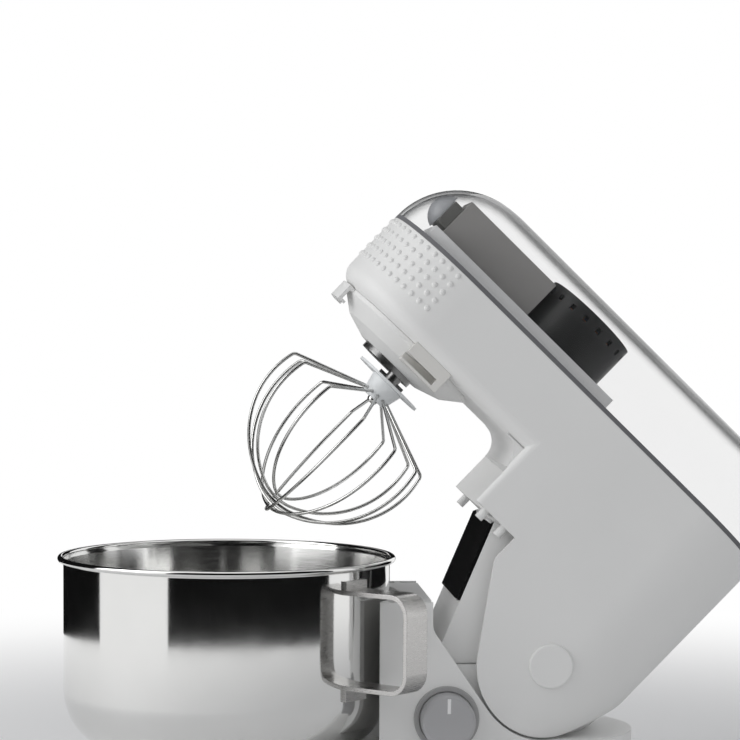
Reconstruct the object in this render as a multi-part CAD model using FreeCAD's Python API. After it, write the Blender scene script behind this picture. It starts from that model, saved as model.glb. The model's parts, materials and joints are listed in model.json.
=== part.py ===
import FreeCAD, Part
import math
import os

# Stand mixer with a tilting head, a planetary whisk and a twist-lock bowl. Millimetres.
# +Z is up, the bowl is towards -Y, and the speed knob is on the +X side.
# Everything is drawn with the bowl's axis at x = y = 0, the floor at z = 0 and the head level;
# the head is then tilted up to its rest pose, and the whole moved so that the origin is central.

V = FreeCAD.Vector

# Overall shape
HEAD_TILT = 44.0            # degrees that the head is tilted up at rest
HEAD_R = 66.0               # half width of the head, and radius of its round nose and tail
HINGE_Y = 216.0             # hinge axis behind the bowl's axis
HINGE_Z = 99.0              # hinge axis above the floor
ARM_BOTTOM = 189.4          # underside of the head's arm
RIM_Z = 244.8               # top edge of the head's shell, where the clear cover starts
COVER_TOP = 304.0           # top of the clear cover
COVER_ROUND = 57.0          # radius that rounds the clear cover's top edges
ARM_ROUND = 12.0            # radius along the arm's lower edges
SHELL = 3.0                 # wall of the moulded shells
COVER_WALL = 2.4
RIM_SEAL = 3.0              # height of the dark seal under the clear cover

# Neck, cheeks and hinge
NECK_FRONT = 101.0          # front corners of the neck
NECK_BOTTOM = 143.5         # lower edge of the neck
NECK_CORNER = 5.0
NECK_FILLET = 15.0          # inner corner between arm and neck
CHEEK_FRONT = 138.0         # front edge of the cheeks that reach down to the hinge
CHEEK_FRONT_R = 12.0
CHEEK_FRONT_Z = 128.0
CHEEK_R = 50.0              # round lower end of the cheeks, about the hinge
TAIL_Z = 112.0              # lower edge of the head's tail
TAIL_R = 8.0
PIN_R = 6.0                 # hinge pin
BUSH_WALL = 3.0
BOSS_R = 13.0               # hinge boss inside each cheek
BOSS_IN = 57.0              # inner face of the hinge bosses
CAP_R = 15.0                # hinge caps
CAP_THICK = 2.5
PEG_R = 3.0                 # locating pegs under the neck
PEG_DROP = 7.5
PEG_SEAT = 3.0              # thickness of the ledge that holds the pegs
PEG_X = 58.0
PEG_Y = (112.0, 129.0)
PEG_LEDGE_Z = 3.0           # ledge for the pegs, above the neck's lower edge

# Stand
BASE_R = 100.0              # round front of the base, about the bowl's axis
TAIL_BASE_R = 92.0          # round rear of the base
TAIL_BASE_Y = 194.0
BASE_BOTTOM = 4.0
BASE_TOP = 32.0
BASE_ROUND = 10.0
FOOT_R = 11.0
FOOT_SINK = 1.2             # how far a foot's stem goes into the base plate
BASE_PLATE = 3.0
SCREW_R = 3.5               # screws of the base plate
SCREW_H = 2.4
SCREW_INWARD = 0.8          # place of a screw, as a share of its foot's place
COLUMN_W = 52.0             # half width of the inner column
COLUMN_REACH = 103.0        # top of the inner column, as a radius about the hinge
COLUMN_LEAN = 23.0          # degrees that the column's front leans back
COLUMN_FRONT = 156.0        # front of the inner column at the deck
COLUMN_BACK = 22.0          # back of the inner column behind the hinge
PLATE_THICK = 2.0           # mirror plate on the column's front
DRUM_R = 46.0               # drum about the hinge
DRUM_HALF = 56.5            # half width of the drum
FOOT_FRONT = 66.0           # front of the drum's foot, before the hinge
HEAD_GAP = 1.5              # gap between the head and the stand
BOWL_GAP = 2.5              # gap between the bowl's rim and the stand
NECK_GAP = 3.5              # gap between the bowl's rim and the lowered neck
NECK_ROOM = 6.0             # height above the rim to which the neck is hollowed out

# Bowl
BOWL_RIM_R = 116.0
BOWL_RIM_Z = 168.0
RIM_REACH = 4.0             # how far the rim stands out from the wall
BOWL_WALL_R = BOWL_RIM_R - RIM_REACH
BOWL_BOTTOM = 34.0
BOWL_WALL = 1.6
BOWL_CORNER = 42.0
BEAD_R = 2.0                # rolled rim
FLARE_H = 2.5               # height over which the wall turns out to the rim
FOOT_RING_R = 58.0
FOOT_RING_WALL = 4.0
TAB_REACH = 3.0             # bayonet tabs on the foot ring
TAB_ANGLE = 26.0
LUG_ANGLE = 34.0
LUG_H = 2.2
TAB_COUNT = 3
SOCKET_DEPTH = 6.0
SOCKET_WALL = 4.5
HANDLE_ANGLE = 42.0         # degrees from the rear towards +X
HANDLE_REACH = 164.0
HANDLE_TOP = 152.0
HANDLE_HEIGHT = 66.0
HANDLE_W = 22.0
HANDLE_THICK = 3.0
HANDLE_ROUND = 14.0
HANDLE_SINK = 4.0           # overlap with the wall before the handle is cut to it
PAD_THICK = 2.0             # pads that join the handle to the wall
PAD_LOW = 8.0
PAD_HIGH = 6.0

# Knob, button and latch
KNOB_Y = 146.0
KNOB_Z = 64.0
KNOB_R = 18.0
KNOB_H = 18.0
KNOB_SHAFT_R = 3.0
KNOB_ROUND = 2.5
POINTER_W = 2.4             # white line on the knob's face
POINTER_IN = 6.0
POINTER_DEPTH = 1.2
BEZEL_R = 22.0
BEZEL_H = 2.0
BEZEL_ROUND = 0.8
SWITCH_SIZE = 22.0
SWITCH_DEPTH = 14.0
SECTOR_R = 26.0             # latch sector about the hinge
SECTOR_THICK = 5.0
LATCH_X = -42.0             # middle of the latch sector and its bolt
NOTCH_DEPTH = 4.0
GUIDE_H = 10.0
BOLT_W = 8.0
BOLT_THICK = 3.6
BRIDGE_H = 3.0              # bar that joins the button to the bolt
BUTTON_L = 26.0
BUTTON_W = 9.0
BUTTON_PROUD = 6.0
BUTTON_TRAVEL = 4.0
SPRING_ROOM = 2 * BUTTON_TRAVEL     # height of the spring at rest
BOLT_LOW = BASE_BOTTOM + BASE_PLATE + SPRING_ROOM + BRIDGE_H
SPRING_R = 3.2
SPRING_WIRE = 0.8
SPRING_TURNS = 5

# Drive train
MODULE = 1.0
WHEEL_TEETH = 66            # drive gear, and the large gear of the layshaft
PINION_TEETH = 13
RING_TEETH = 40
PLANET_TEETH = 14
ORBIT_ANGLE = 43.0          # degrees from the rear towards +X, planet at rest
CARRIER_R = 21.0
CARRIER_Z = 167.0           # underside of the carrier disc
CARRIER_THICK = 5.0
CARRIER_SHAFT_R = 4.5
LAY_SHAFT_R = 4.0
MOTOR_SHAFT_R = 4.0
PLANET_SHAFT_R = 4.0
SPINDLE_R = 5.5
BUSH_R = 9.0
RUN = 0.05                  # radial running clearance of shafts
CLEAR = 0.3                 # clearance between other moving faces
GEAR_W = 10.0
PLANET_W = 8.0
RING_WALL = 7.0

# Tray, gearbox and motor
TRAY_HALF = 43.5
TRAY_FRONT = -44.0
TRAY_REAR = 124.0
TRAY_TOP = 257.0
TRAY_WALL = 2.5
TRAY_FLOOR = 2.0
TRAY_SCREW_X = 30.0
TRAY_SCREW_R = 2.0
BOX_HALF = 38.0             # gearbox, at its gears
BOX_TALL_HALF = 25.0        # gearbox, its tall block under the clear cover
BOX_WALL = 2.4
BOX_TOP = 287.0
BOX_LOW_TOP = 231.0
BEARING_PLATE = 6.0
END_HALF = 22.0             # dark plate on the gearbox's front
END_THICK = 8.0
END_DROP = 10.0
END_RISE = 9.0
END_ROUND = 2.0
CAP_Z = 271.0               # domed cap on the dark plate
CAP_BALL_R = 14.0
CAP_SINK = 4.0
MOTOR_R = 35.0
MOTOR_WALL = 2.0
MOTOR_TOP = 291.0
MOTOR_LID = 3.0
STATOR_H = 34.0
ROTOR_R = 18.5
AIR_GAP = 0.6
COIL_IN = 20.5
COIL_OUT = 26.5
COIL_ANGLE = 172.0
COIL_PROUD = 5.0            # coil ends beyond the stator
POLE_HALF_ANGLE = 54.0
COMM_R = 9.0                # commutator
BRUSH_HALF = 4.0
SLOT_COUNT = 18

# Under the nose
COLLAR_TOP_R = 56.0
COLLAR_MID_R = 43.0
COLLAR_MID_Z = 176.5
COLLAR_LOW_R = 26.0
COLLAR_LOW_Z = 171.0
COLLAR_WALL = 2.4
COLLAR_RIM = 3.0            # height of the collar's upright edge
LIP_R = 61.0
LIP_DROP = 12.4
LIP_ANGLE = 44.0
RAIL_IN = 45.0
RAIL_OUT = 61.0
RAIL_FRONT = 0.0
RAIL_REAR = 32.0
RAIL_DROP = 14.0
RAIL_SLOT = 5.0

# Whisk
FLANGE_R = 26.0
FLANGE_Z = 159.0
FLANGE_THICK = 1.8
HUB_TOP_R = 13.0
HUB_LOW_R = 9.5
HUB_LOW_Z = 145.0
PIN_CROSS_R = 1.5
PIN_CROSS_L = 21.0
WIRE_R = 1.1
WIRE_LOOPS = 6
WIDEST_R = 62.0             # the loops bulge a little below their shoulders
WIDEST_Z = 117.0
SHOULDER_Z = 131.0
SHOULDER_BEND = 4.0
WIRE_TIP_Z = 40.0
WIRE_STEP = 2.6             # each loop passes this much above the one below it
TIP_BEND = 42.0             # radius of the lowest loop's round end
WIRE_ROOT_R = 7.5
WIRE_ROOT_Z = 149.0

# Nubs round the nose
NUB_R = 1.9
NUB_H = 1.0
NUB_ROWS = 5
NUB_COLUMNS = 26
NUB_PITCH = 7.4
NUB_LOW_Z = 211.5


def box(x0, x1, y0, y1, z0, z1):
    return Part.makeBox(x1 - x0, y1 - y0, z1 - z0, V(x0, y0, z0))


def rod(radius, z0, z1, x=0.0, y=0.0):
    return Part.makeCylinder(radius, z1 - z0, V(x, y, z0))


def rod_x(radius, x0, x1, y, z):
    return Part.makeCylinder(radius, x1 - x0, V(x0, y, z), V(1, 0, 0))


def rod_y(radius, y0, y1, x, z):
    return Part.makeCylinder(radius, y1 - y0, V(x, y0, z), V(0, 1, 0))


def ring(outer, inner, z0, z1, x=0.0, y=0.0):
    return rod(outer, z0, z1, x, y).cut(rod(inner, z0, z1, x, y))


def ring_x(outer, inner, x0, x1, y, z):
    return rod_x(outer, x0, x1, y, z).cut(rod_x(inner, x0, x1, y, z))


def both_sides(shape):
    """The shape and its mirror image across the middle plane, as separate solids."""
    return Part.makeCompound([shape, shape.mirror(V(0, 0, 0), V(1, 0, 0))])


def join(shapes):
    return shapes[0].fuse(shapes[1:]).removeSplitter()


def polygon(points):
    return Part.Face(Part.makePolygon(points + points[:1]))


def side_prism(outline, half_width):
    """Extrude a side-view outline, given as (y, z) points, across the object."""
    face = polygon([V(-half_width, y, z) for y, z in outline])
    return face.extrude(V(2 * half_width, 0, 0))


def spun(outline, x=0.0, y=0.0):
    """Turn an outline, given as (radius, z) points, about an upright axis."""
    face = polygon([V(x + r, y, z) for r, z in outline])
    return face.revolve(V(x, y, 0), V(0, 0, 1), 360)


def pair_outline(centre_a, radius_a, centre_b, radius_b, place):
    """Closed wire of two circles and their outer tangents; place maps (u, v) into space."""
    du = centre_b[0] - centre_a[0]
    dv = centre_b[1] - centre_a[1]
    along = math.atan2(dv, du)
    lean = math.acos((radius_a - radius_b) / math.hypot(du, dv))

    def at(centre, radius, angle):
        return place(centre[0] + radius * math.cos(angle), centre[1] + radius * math.sin(angle))

    upper, lower = along + lean, along - lean
    a_up, b_up = at(centre_a, radius_a, upper), at(centre_b, radius_b, upper)
    a_low, b_low = at(centre_a, radius_a, lower), at(centre_b, radius_b, lower)
    a_far = at(centre_a, radius_a, along + math.pi)
    b_far = at(centre_b, radius_b, along)
    edges = [Part.LineSegment(a_low, b_low), Part.Arc(b_low, b_far, b_up),
             Part.LineSegment(b_up, a_up), Part.Arc(a_up, a_far, a_low)]
    return Part.Wire([edge.toShape() for edge in edges])


def plan_pair(radius_a, y_a, radius_b, y_b, z0, z1):
    """Upright block on the outline of two circles on the middle line."""
    wire = pair_outline((0, y_a), radius_a, (0, y_b), radius_b, lambda u, v: V(u, v, z0))
    return Part.Face(wire).extrude(V(0, 0, z1 - z0))


def side_pair(centre_a, radius_a, centre_b, radius_b, half_width):
    """Block across the object on the side outline of two circles."""
    wire = pair_outline(centre_a, radius_a, centre_b, radius_b, lambda u, v: V(-half_width, u, v))
    return Part.Face(wire).extrude(V(2 * half_width, 0, 0))


def head_pill(inset, z0, z1):
    """Upright block on the head's pill-shaped plan."""
    return plan_pair(HEAD_R - inset, 0.0, HEAD_R - inset, HINGE_Y, z0, z1)


def level_edges(shape, z):
    return [e for e in shape.Edges if all(abs(v.Z - z) < 1e-6 for v in e.Vertexes)]


def edges_at_x(shape, x):
    return [e for e in shape.Edges if abs(e.BoundBox.XMin - x) < 1e-6]


def edges_at_y(shape, y):
    """Edges across the object at a given distance to the rear."""
    return [e for e in shape.Edges if abs(e.BoundBox.YMin - y) < 1e-6 and e.BoundBox.XLength > 1]


def sector(outer, inner, z0, z1, middle, width):
    """Part of a ring, centred on an angle measured from the rear towards +X."""
    piece = Part.makeCylinder(outer, z1 - z0, V(0, 0, z0), V(0, 0, 1), width)
    piece = piece.cut(rod(inner, z0, z1))
    piece.rotate(V(0, 0, 0), V(0, 0, 1), 90 - middle - width / 2)
    return piece


def gear_face(teeth, module, z, inner=False):
    """Face of a gear with involute flanks, with one tooth pointing to the rear (+Y)."""
    pitch = teeth * module / 2
    base = pitch * math.cos(math.radians(20))
    addendum, dedendum = (1.15, 0.85) if inner else (0.9, 1.2)
    tip, root = pitch + addendum * module, pitch - dedendum * module
    backlash = -0.14 * module if inner else 0.14 * module
    half = math.pi / (2 * teeth) - backlash / pitch / 2

    def roll(radius):
        if radius <= base:
            return 0.0
        angle = math.acos(base / radius)
        return math.tan(angle) - angle

    levels = [root, max(base, root + 0.05), (max(base, root) + tip) / 2, tip]
    flank = [(r, half + roll(pitch) - roll(r)) for r in levels]
    outline = []
    for tooth in range(teeth):
        middle = math.pi / 2 + 2 * math.pi * tooth / teeth
        for radius, angle in flank:
            outline.append((radius, middle - angle))
        for radius, angle in reversed(flank):
            outline.append((radius, middle + angle))
    return polygon([V(r * math.cos(a), r * math.sin(a), z) for r, a in outline])


def gear(teeth, module, z0, z1, bore, y=0.0):
    wheel = gear_face(teeth, module, z0).extrude(V(0, 0, z1 - z0))
    wheel = wheel.cut(rod(bore, z0, z1))
    wheel.translate(V(0, y, 0))
    return wheel


DECK_Z = NECK_BOTTOM - HEAD_GAP             # top of the stand's front column
RECESS_R = BOWL_RIM_R + BOWL_GAP            # hollow in the stand for the bowl
NECK_RECESS_R = BOWL_RIM_R + NECK_GAP       # hollow in the neck for the bowl
HINGE = (HINGE_Y, HINGE_Z)
CHEEK_NOSE = (CHEEK_FRONT + CHEEK_FRONT_R, CHEEK_FRONT_Z)
TAIL_CORNER = (HINGE_Y + HEAD_R - TAIL_R, TAIL_Z + TAIL_R)
SOCKET_R = FOOT_RING_R + TAB_REACH + 0.5    # inside of the bowl's socket
SOCKET_FLOOR = BASE_TOP - SOCKET_DEPTH
LATCH_IN = LATCH_X + SECTOR_THICK / 2       # inner face of the latch sector
BUTTON_X = -(HEAD_R + 1.5 + BUTTON_W / 2)
FEET = [(72.0, -42.0), (-72.0, -42.0), (56.0, 236.0), (-56.0, 236.0)]
BOARD = (-45.0, 45.0, 90.0, 165.0)          # control board: x and y limits
BOARD_Z = 13.0
INLET_Z = 16.0
INLET_R = 6.0


def cheek_clearance(gap):
    """Room that the head's cheeks and tail need beside the stand."""
    nose = side_pair(CHEEK_NOSE, CHEEK_FRONT_R + gap, HINGE, CHEEK_R + gap, HEAD_R + 1)
    tail = side_pair(HINGE, CHEEK_R + gap, TAIL_CORNER, TAIL_R + gap, HEAD_R + 1)
    above = box(-HEAD_R - 1, HEAD_R + 1, CHEEK_FRONT - gap, HINGE_Y + HEAD_R + 2, CHEEK_FRONT_Z, RIM_Z)
    return join([nose, tail, above])


def inner_column(inset):
    """Column that stays inside the neck, with a leaning front, and the drum about the hinge."""
    lean = math.tan(math.radians(COLUMN_LEAN))

    def front(z):
        return COLUMN_FRONT + inset + (z - DECK_Z) * lean

    top = HINGE_Z + COLUMN_REACH
    outline = [(front(HINGE_Z), HINGE_Z), (front(top), top),
               (HINGE_Y + COLUMN_BACK - inset, top), (HINGE_Y + COLUMN_BACK - inset, HINGE_Z)]
    tall = side_prism(outline, COLUMN_W - inset)
    tall = tall.common(rod_x(COLUMN_REACH - inset, -HEAD_R, HEAD_R, HINGE_Y, HINGE_Z))
    half = DRUM_HALF - inset
    drum = rod_x(DRUM_R - inset, -half, half, HINGE_Y, HINGE_Z)
    foot = box(-half, half, HINGE_Y - FOOT_FRONT + inset, HINGE_Y + DRUM_R - inset,
               BASE_TOP - BASE_ROUND, HINGE_Z)
    pocket = rod_x(SECTOR_R + HEAD_GAP + inset, -HEAD_R, LATCH_IN + HEAD_GAP + inset, HINGE_Y, HINGE_Z)
    return join([tall, join([drum, foot]).common(tail_room(inset))]).cut(pocket)


def tail_room(inset):
    """Room inside the head's tail that stays free while the head tilts."""
    wall = SHELL + HEAD_GAP + inset
    level = head_pill(wall, -COVER_TOP, 2 * COVER_TOP)
    tilted = level.copy()
    tilted.rotate(V(0, HINGE_Y, HINGE_Z), V(1, 0, 0), -HEAD_TILT)
    corner = box(-HEAD_R, HEAD_R, HINGE_Y + BUSH_R, HINGE_Y + 2 * HEAD_R, 0, HINGE_Z)
    corner = corner.cut(Part.makeSphere(HEAD_R - wall, V(0, HINGE_Y, HINGE_Z)))
    return level.common(tilted).cut(corner)


def front_column(inset):
    """Front of the column, hollowed for the bowl, with aprons under the head's cheeks."""
    block = head_pill(inset, BASE_TOP - BASE_ROUND, DECK_Z - inset)
    block = block.cut(box(-HEAD_R, HEAD_R, -HEAD_R, NECK_FRONT + inset, 0, RIM_Z))
    block = block.cut(rod(RECESS_R + inset, 0, RIM_Z))
    swing_z = HINGE_Z - CHEEK_R - HEAD_GAP - inset
    swing = box(-HEAD_R, HEAD_R, HINGE_Y, HINGE_Y + HEAD_R, swing_z, RIM_Z)
    return block.cut(cheek_clearance(HEAD_GAP + inset)).cut(swing)


def base_block(inset):
    top = BASE_TOP - inset
    block = plan_pair(BASE_R - inset, 0.0, TAIL_BASE_R - inset, TAIL_BASE_Y, BASE_BOTTOM, top)
    return block.makeFillet(BASE_ROUND - inset, level_edges(block, top))


def stand_shell():
    outer = join([base_block(0.0), front_column(0.0), inner_column(0.0)])
    inner = join([base_block(SHELL), front_column(SHELL), inner_column(SHELL)])
    inner = inner.cut(rod(SOCKET_R + SOCKET_WALL + SHELL, SOCKET_FLOOR - SHELL, BASE_TOP))
    inner = inner.cut(ring_x(BOSS_R, PIN_R, -DRUM_HALF, DRUM_HALF, HINGE_Y, HINGE_Z))
    shell = outer.cut(inner)
    shell = shell.cut(rod(SOCKET_R + SOCKET_WALL, SOCKET_FLOOR, BASE_TOP + 1))
    shell = shell.cut(rod_x(PIN_R, -HEAD_R, HEAD_R, HINGE_Y, HINGE_Z))
    shell = shell.cut(rod_x(KNOB_SHAFT_R + RUN, 0, HEAD_R + 1, KNOB_Y, KNOB_Z))
    shell = shell.cut(rod_y(INLET_R + RUN, HINGE_Y, HINGE_Y + 2 * HEAD_R, 0, INLET_Z))
    for x in (-PEG_X, PEG_X):
        for y in PEG_Y:
            shell = shell.cut(box(x - 5.5, x + 4.8, y - 4.8, y + 8.5, DECK_Z - 9, DECK_Z + 1))
    shell = shell.cut(bolt_block(CLEAR, BOLT_LOW, HINGE_Z))
    return shell.cut(button_block(CLEAR, BOLT_LOW))


def bolt_block(gap, z0, z1):
    across = BOLT_THICK / 2 + gap
    along = BOLT_W / 2 + gap
    return box(LATCH_X - across, LATCH_X + across, HINGE_Y - along, HINGE_Y + along, z0, z1)


def button_block(gap, z0):
    """Release button, a long pill that stands out of the base beside the right cheek."""
    half = BUTTON_L / 2 - BUTTON_W / 2
    wire = pair_outline((BUTTON_X, HINGE_Y - half), BUTTON_W / 2 + gap, (BUTTON_X, HINGE_Y + half),
                        BUTTON_W / 2 + gap, lambda u, v: V(u, v, z0))
    return Part.Face(wire).extrude(V(0, 0, BASE_TOP + BUTTON_PROUD - z0))


def stand_pieces():
    pieces = {"stand_shell": stand_shell()}
    plate = plan_pair(BASE_R - SHELL - CLEAR, 0.0, TAIL_BASE_R - SHELL - CLEAR, TAIL_BASE_Y,
                      BASE_BOTTOM, BASE_BOTTOM + BASE_PLATE)
    plate_top = BASE_BOTTOM + BASE_PLATE
    feet = []
    screws = []
    for x, y in FEET:
        stem = rod(FOOT_R / 2, BASE_BOTTOM, BASE_BOTTOM + FOOT_SINK, x, y)
        plate = plate.cut(stem)
        foot = rod(FOOT_R, 0, BASE_BOTTOM, x, y)
        foot = foot.makeFillet(1.0, level_edges(foot, 0))
        feet.append(join([foot, stem]))
        inward = SCREW_INWARD
        screws.append(rod(SCREW_R, plate_top, plate_top + SCREW_H, x * inward, y * inward))
    pieces["base_plate"] = plate
    pieces["rubber_feet"] = Part.makeCompound(feet)
    pieces["base_screws"] = Part.makeCompound(screws)

    lean = math.tan(math.radians(COLUMN_LEAN))
    thick = PLATE_THICK / math.cos(math.radians(COLUMN_LEAN))
    top = HINGE_Z + COLUMN_REACH
    top_y = COLUMN_FRONT + (top - DECK_Z) * lean
    outline = [(COLUMN_FRONT - thick, DECK_Z), (COLUMN_FRONT, DECK_Z), (top_y, top), (top_y - thick, top)]
    plate = side_prism(outline, COLUMN_W)
    pieces["column_plate"] = plate.common(rod_x(COLUMN_REACH, -HEAD_R, HEAD_R, HINGE_Y, HINGE_Z))

    pieces["hinge_pin"] = rod_x(PIN_R, -HEAD_R, HEAD_R, HINGE_Y, HINGE_Z)

    socket = ring(SOCKET_R + SOCKET_WALL, SOCKET_R, SOCKET_FLOOR, BASE_TOP)
    lugs = [sector(SOCKET_R + 1, FOOT_RING_R + 2 * CLEAR, BASE_TOP - LUG_H, BASE_TOP,
                   turn * 360 / TAB_COUNT, LUG_ANGLE)
            for turn in range(TAB_COUNT)]
    pieces["bowl_socket"] = join([socket] + lugs)

    bezel = ring_x(BEZEL_R, KNOB_R + CLEAR, HEAD_R, HEAD_R + BEZEL_H, KNOB_Y, KNOB_Z)
    pieces["knob_bezel"] = bezel.makeFillet(BEZEL_ROUND, edges_at_x(bezel, HEAD_R + BEZEL_H))
    half = SWITCH_SIZE / 2
    back = HEAD_R - SHELL
    switch = box(back - SWITCH_DEPTH, back, KNOB_Y - half, KNOB_Y + half, KNOB_Z - half, KNOB_Z + half)
    pieces["speed_switch"] = switch.cut(rod_x(KNOB_SHAFT_R + RUN, 0, HEAD_R, KNOB_Y, KNOB_Z))

    x0, x1, y0, y1 = BOARD
    board = box(x0, x1, y0, y1, BOARD_Z, BOARD_Z + 1.6)
    posts = [rod(3, BASE_BOTTOM + BASE_PLATE, BOARD_Z, x, y)
             for x in (x0 + 6, x1 - 6) for y in (y0 + 6, y1 - 6)]
    pieces["base_plate"] = join([pieces["base_plate"]] + posts)
    sink = box(x0 + 14, x0 + 30, y0 + 12, y1 - 12, BOARD_Z + 1.6, BOARD_Z + 9)
    can = rod(6, BOARD_Z + 1.6, BOARD_Z + 11, x1 - 18, y0 + 22)
    coil = rod(9, BOARD_Z + 1.6, BOARD_Z + 9, x1 - 20, y1 - 24)
    pieces["control_board"] = join([board, sink, can, coil])

    rear = TAIL_BASE_Y + TAIL_BASE_R
    inlet = rod_y(INLET_R, rear - SHELL - 4, rear + 2, 0, INLET_Z)
    flange = rod_y(INLET_R + 2.5, rear - SHELL - 4, rear - SHELL - 1.2, 0, INLET_Z)
    pieces["cord_inlet"] = join([inlet, flange]).cut(rod_y(4, rear - 20, rear + 5, 0, INLET_Z))

    pocket_low = HINGE_Z - SECTOR_R - HEAD_GAP - SHELL
    half = BOLT_THICK / 2 + SHELL
    guide = box(LATCH_X - half, LATCH_X + half, HINGE_Y - BOLT_W, HINGE_Y + BOLT_W,
                pocket_low - GUIDE_H, HINGE_Z)
    guide = guide.cut(rod_x(SECTOR_R + HEAD_GAP + SHELL + RUN, -HEAD_R, HEAD_R, HINGE_Y, HINGE_Z))
    guide = guide.cut(bolt_block(CLEAR, BOLT_LOW, HINGE_Z))
    pieces["latch_guide"] = guide
    return pieces


def latch_pieces():
    """Button and bolt that slide down together, and the spring under the bolt."""
    bolt = bolt_block(0.0, BOLT_LOW, HINGE_Z - SECTOR_R - CLEAR)
    bridge_z = BOLT_LOW - BRIDGE_H
    half = BOLT_W / 2
    bridge = box(BUTTON_X, LATCH_X + BOLT_THICK / 2, HINGE_Y - half, HINGE_Y + half, bridge_z, BOLT_LOW)
    button = button_block(0.0, BOLT_LOW)
    button = button.makeFillet(1.5, level_edges(button, BASE_TOP + BUTTON_PROUD))
    low = BASE_BOTTOM + BASE_PLATE
    rise = bridge_z - low - SPRING_WIRE
    path = Part.makeHelix(rise / SPRING_TURNS, rise, SPRING_R)
    path.translate(V(0, 0, low + SPRING_WIRE / 2))
    start = path.Edges[0].Vertexes[0].Point
    profile = Part.Wire(Part.makeCircle(SPRING_WIRE / 2, start, V(0, 1, 0)))
    spring = Part.Wire(path.Edges).makePipeShell([profile], True, True)
    spring.translate(V(LATCH_X, HINGE_Y, 0))
    return {"latch_bolt": join([bolt, bridge]), "release_button": button, "latch_spring": spring}


def knob_pieces():
    knob = rod_x(KNOB_R, HEAD_R + 0.4, HEAD_R + KNOB_H, KNOB_Y, KNOB_Z)
    knob = knob.makeFillet(KNOB_ROUND, edges_at_x(knob, HEAD_R + KNOB_H))
    shaft = rod_x(KNOB_SHAFT_R, HEAD_R - SHELL - 10, HEAD_R + 1, KNOB_Y, KNOB_Z)
    face = HEAD_R + KNOB_H
    half = POINTER_W / 2
    low, high = KNOB_Z + POINTER_IN, KNOB_Z + KNOB_R - POINTER_IN / 3
    pointer = box(face - POINTER_DEPTH, face, KNOB_Y - half, KNOB_Y + half, low, high)
    return {"speed_knob": join([knob, shaft]).cut(pointer), "knob_pointer": pointer}


def bowl_pieces():
    inner_r = BOWL_WALL_R - BOWL_WALL
    corner_r = BOWL_WALL_R - BOWL_CORNER
    corner_z = BOWL_BOTTOM + BOWL_CORNER
    bead_z = BOWL_RIM_Z - BEAD_R
    bead_r = BOWL_RIM_R - BEAD_R
    turn = math.sqrt(0.5)

    def corner_arc(radius):
        low = V(corner_r, 0, corner_z - radius)
        middle = V(corner_r + radius * turn, 0, corner_z - radius * turn)
        return Part.Arc(low, middle, V(corner_r + radius, 0, corner_z)).toShape()

    def line(a, b):
        return Part.makeLine(V(a[0], 0, a[1]), V(b[0], 0, b[1]))

    flare_z = bead_z - FLARE_H
    inner_z = BOWL_BOTTOM + BOWL_WALL
    edges = [line((0, BOWL_BOTTOM), (corner_r, BOWL_BOTTOM)),
             corner_arc(BOWL_CORNER),
             line((BOWL_WALL_R, corner_z), (BOWL_WALL_R, flare_z)),
             line((BOWL_WALL_R, flare_z), (bead_r, bead_z)),
             line((bead_r, bead_z), (bead_r - BOWL_WALL, bead_z)),
             line((bead_r - BOWL_WALL, bead_z), (inner_r, flare_z)),
             line((inner_r, flare_z), (inner_r, corner_z)),
             corner_arc(BOWL_CORNER - BOWL_WALL),
             line((corner_r, inner_z), (0, inner_z)),
             line((0, inner_z), (0, BOWL_BOTTOM))]
    wire = Part.Wire(Part.__sortEdges__(edges))
    bowl = Part.Face(wire).revolve(V(0, 0, 0), V(0, 0, 1), 360)
    bowl = join([bowl, Part.makeTorus(bead_r, BEAD_R, V(0, 0, bead_z))])

    foot = ring(FOOT_RING_R, FOOT_RING_R - FOOT_RING_WALL, SOCKET_FLOOR + 0.4, BOWL_BOTTOM)
    tabs = [sector(FOOT_RING_R + TAB_REACH, FOOT_RING_R - 1, SOCKET_FLOOR + 0.8, BASE_TOP - LUG_H - CLEAR,
                   a * 360 / TAB_COUNT, TAB_ANGLE) for a in range(TAB_COUNT)]

    low = HANDLE_TOP - HANDLE_HEIGHT
    start = BOWL_WALL_R - HANDLE_SINK
    loop = box(-HANDLE_W / 2, HANDLE_W / 2, start - HANDLE_ROUND, HANDLE_REACH, low, HANDLE_TOP)
    loop = loop.makeFillet(HANDLE_ROUND, edges_at_y(loop, HANDLE_REACH))
    t = HANDLE_THICK
    hole = box(-HANDLE_W, HANDLE_W, start - HANDLE_ROUND, HANDLE_REACH - t, low + t, HANDLE_TOP - t)
    hole = hole.makeFillet(HANDLE_ROUND - t, edges_at_y(hole, HANDLE_REACH - t))
    pads = [box(-HANDLE_W / 2, HANDLE_W / 2, start, BOWL_WALL_R + PAD_THICK, z0, z1)
            for z0, z1 in ((low - PAD_LOW, low + t), (HANDLE_TOP - t, HANDLE_TOP + PAD_HIGH))]
    handle = join([loop.cut(hole)] + pads).cut(rod(BOWL_WALL_R + RUN, 0, RIM_Z))
    handle.rotate(V(0, 0, 0), V(0, 0, 1), -HANDLE_ANGLE)
    return {"bowl": bowl, "bowl_foot": join([foot] + tabs), "bowl_handle": handle}


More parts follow.
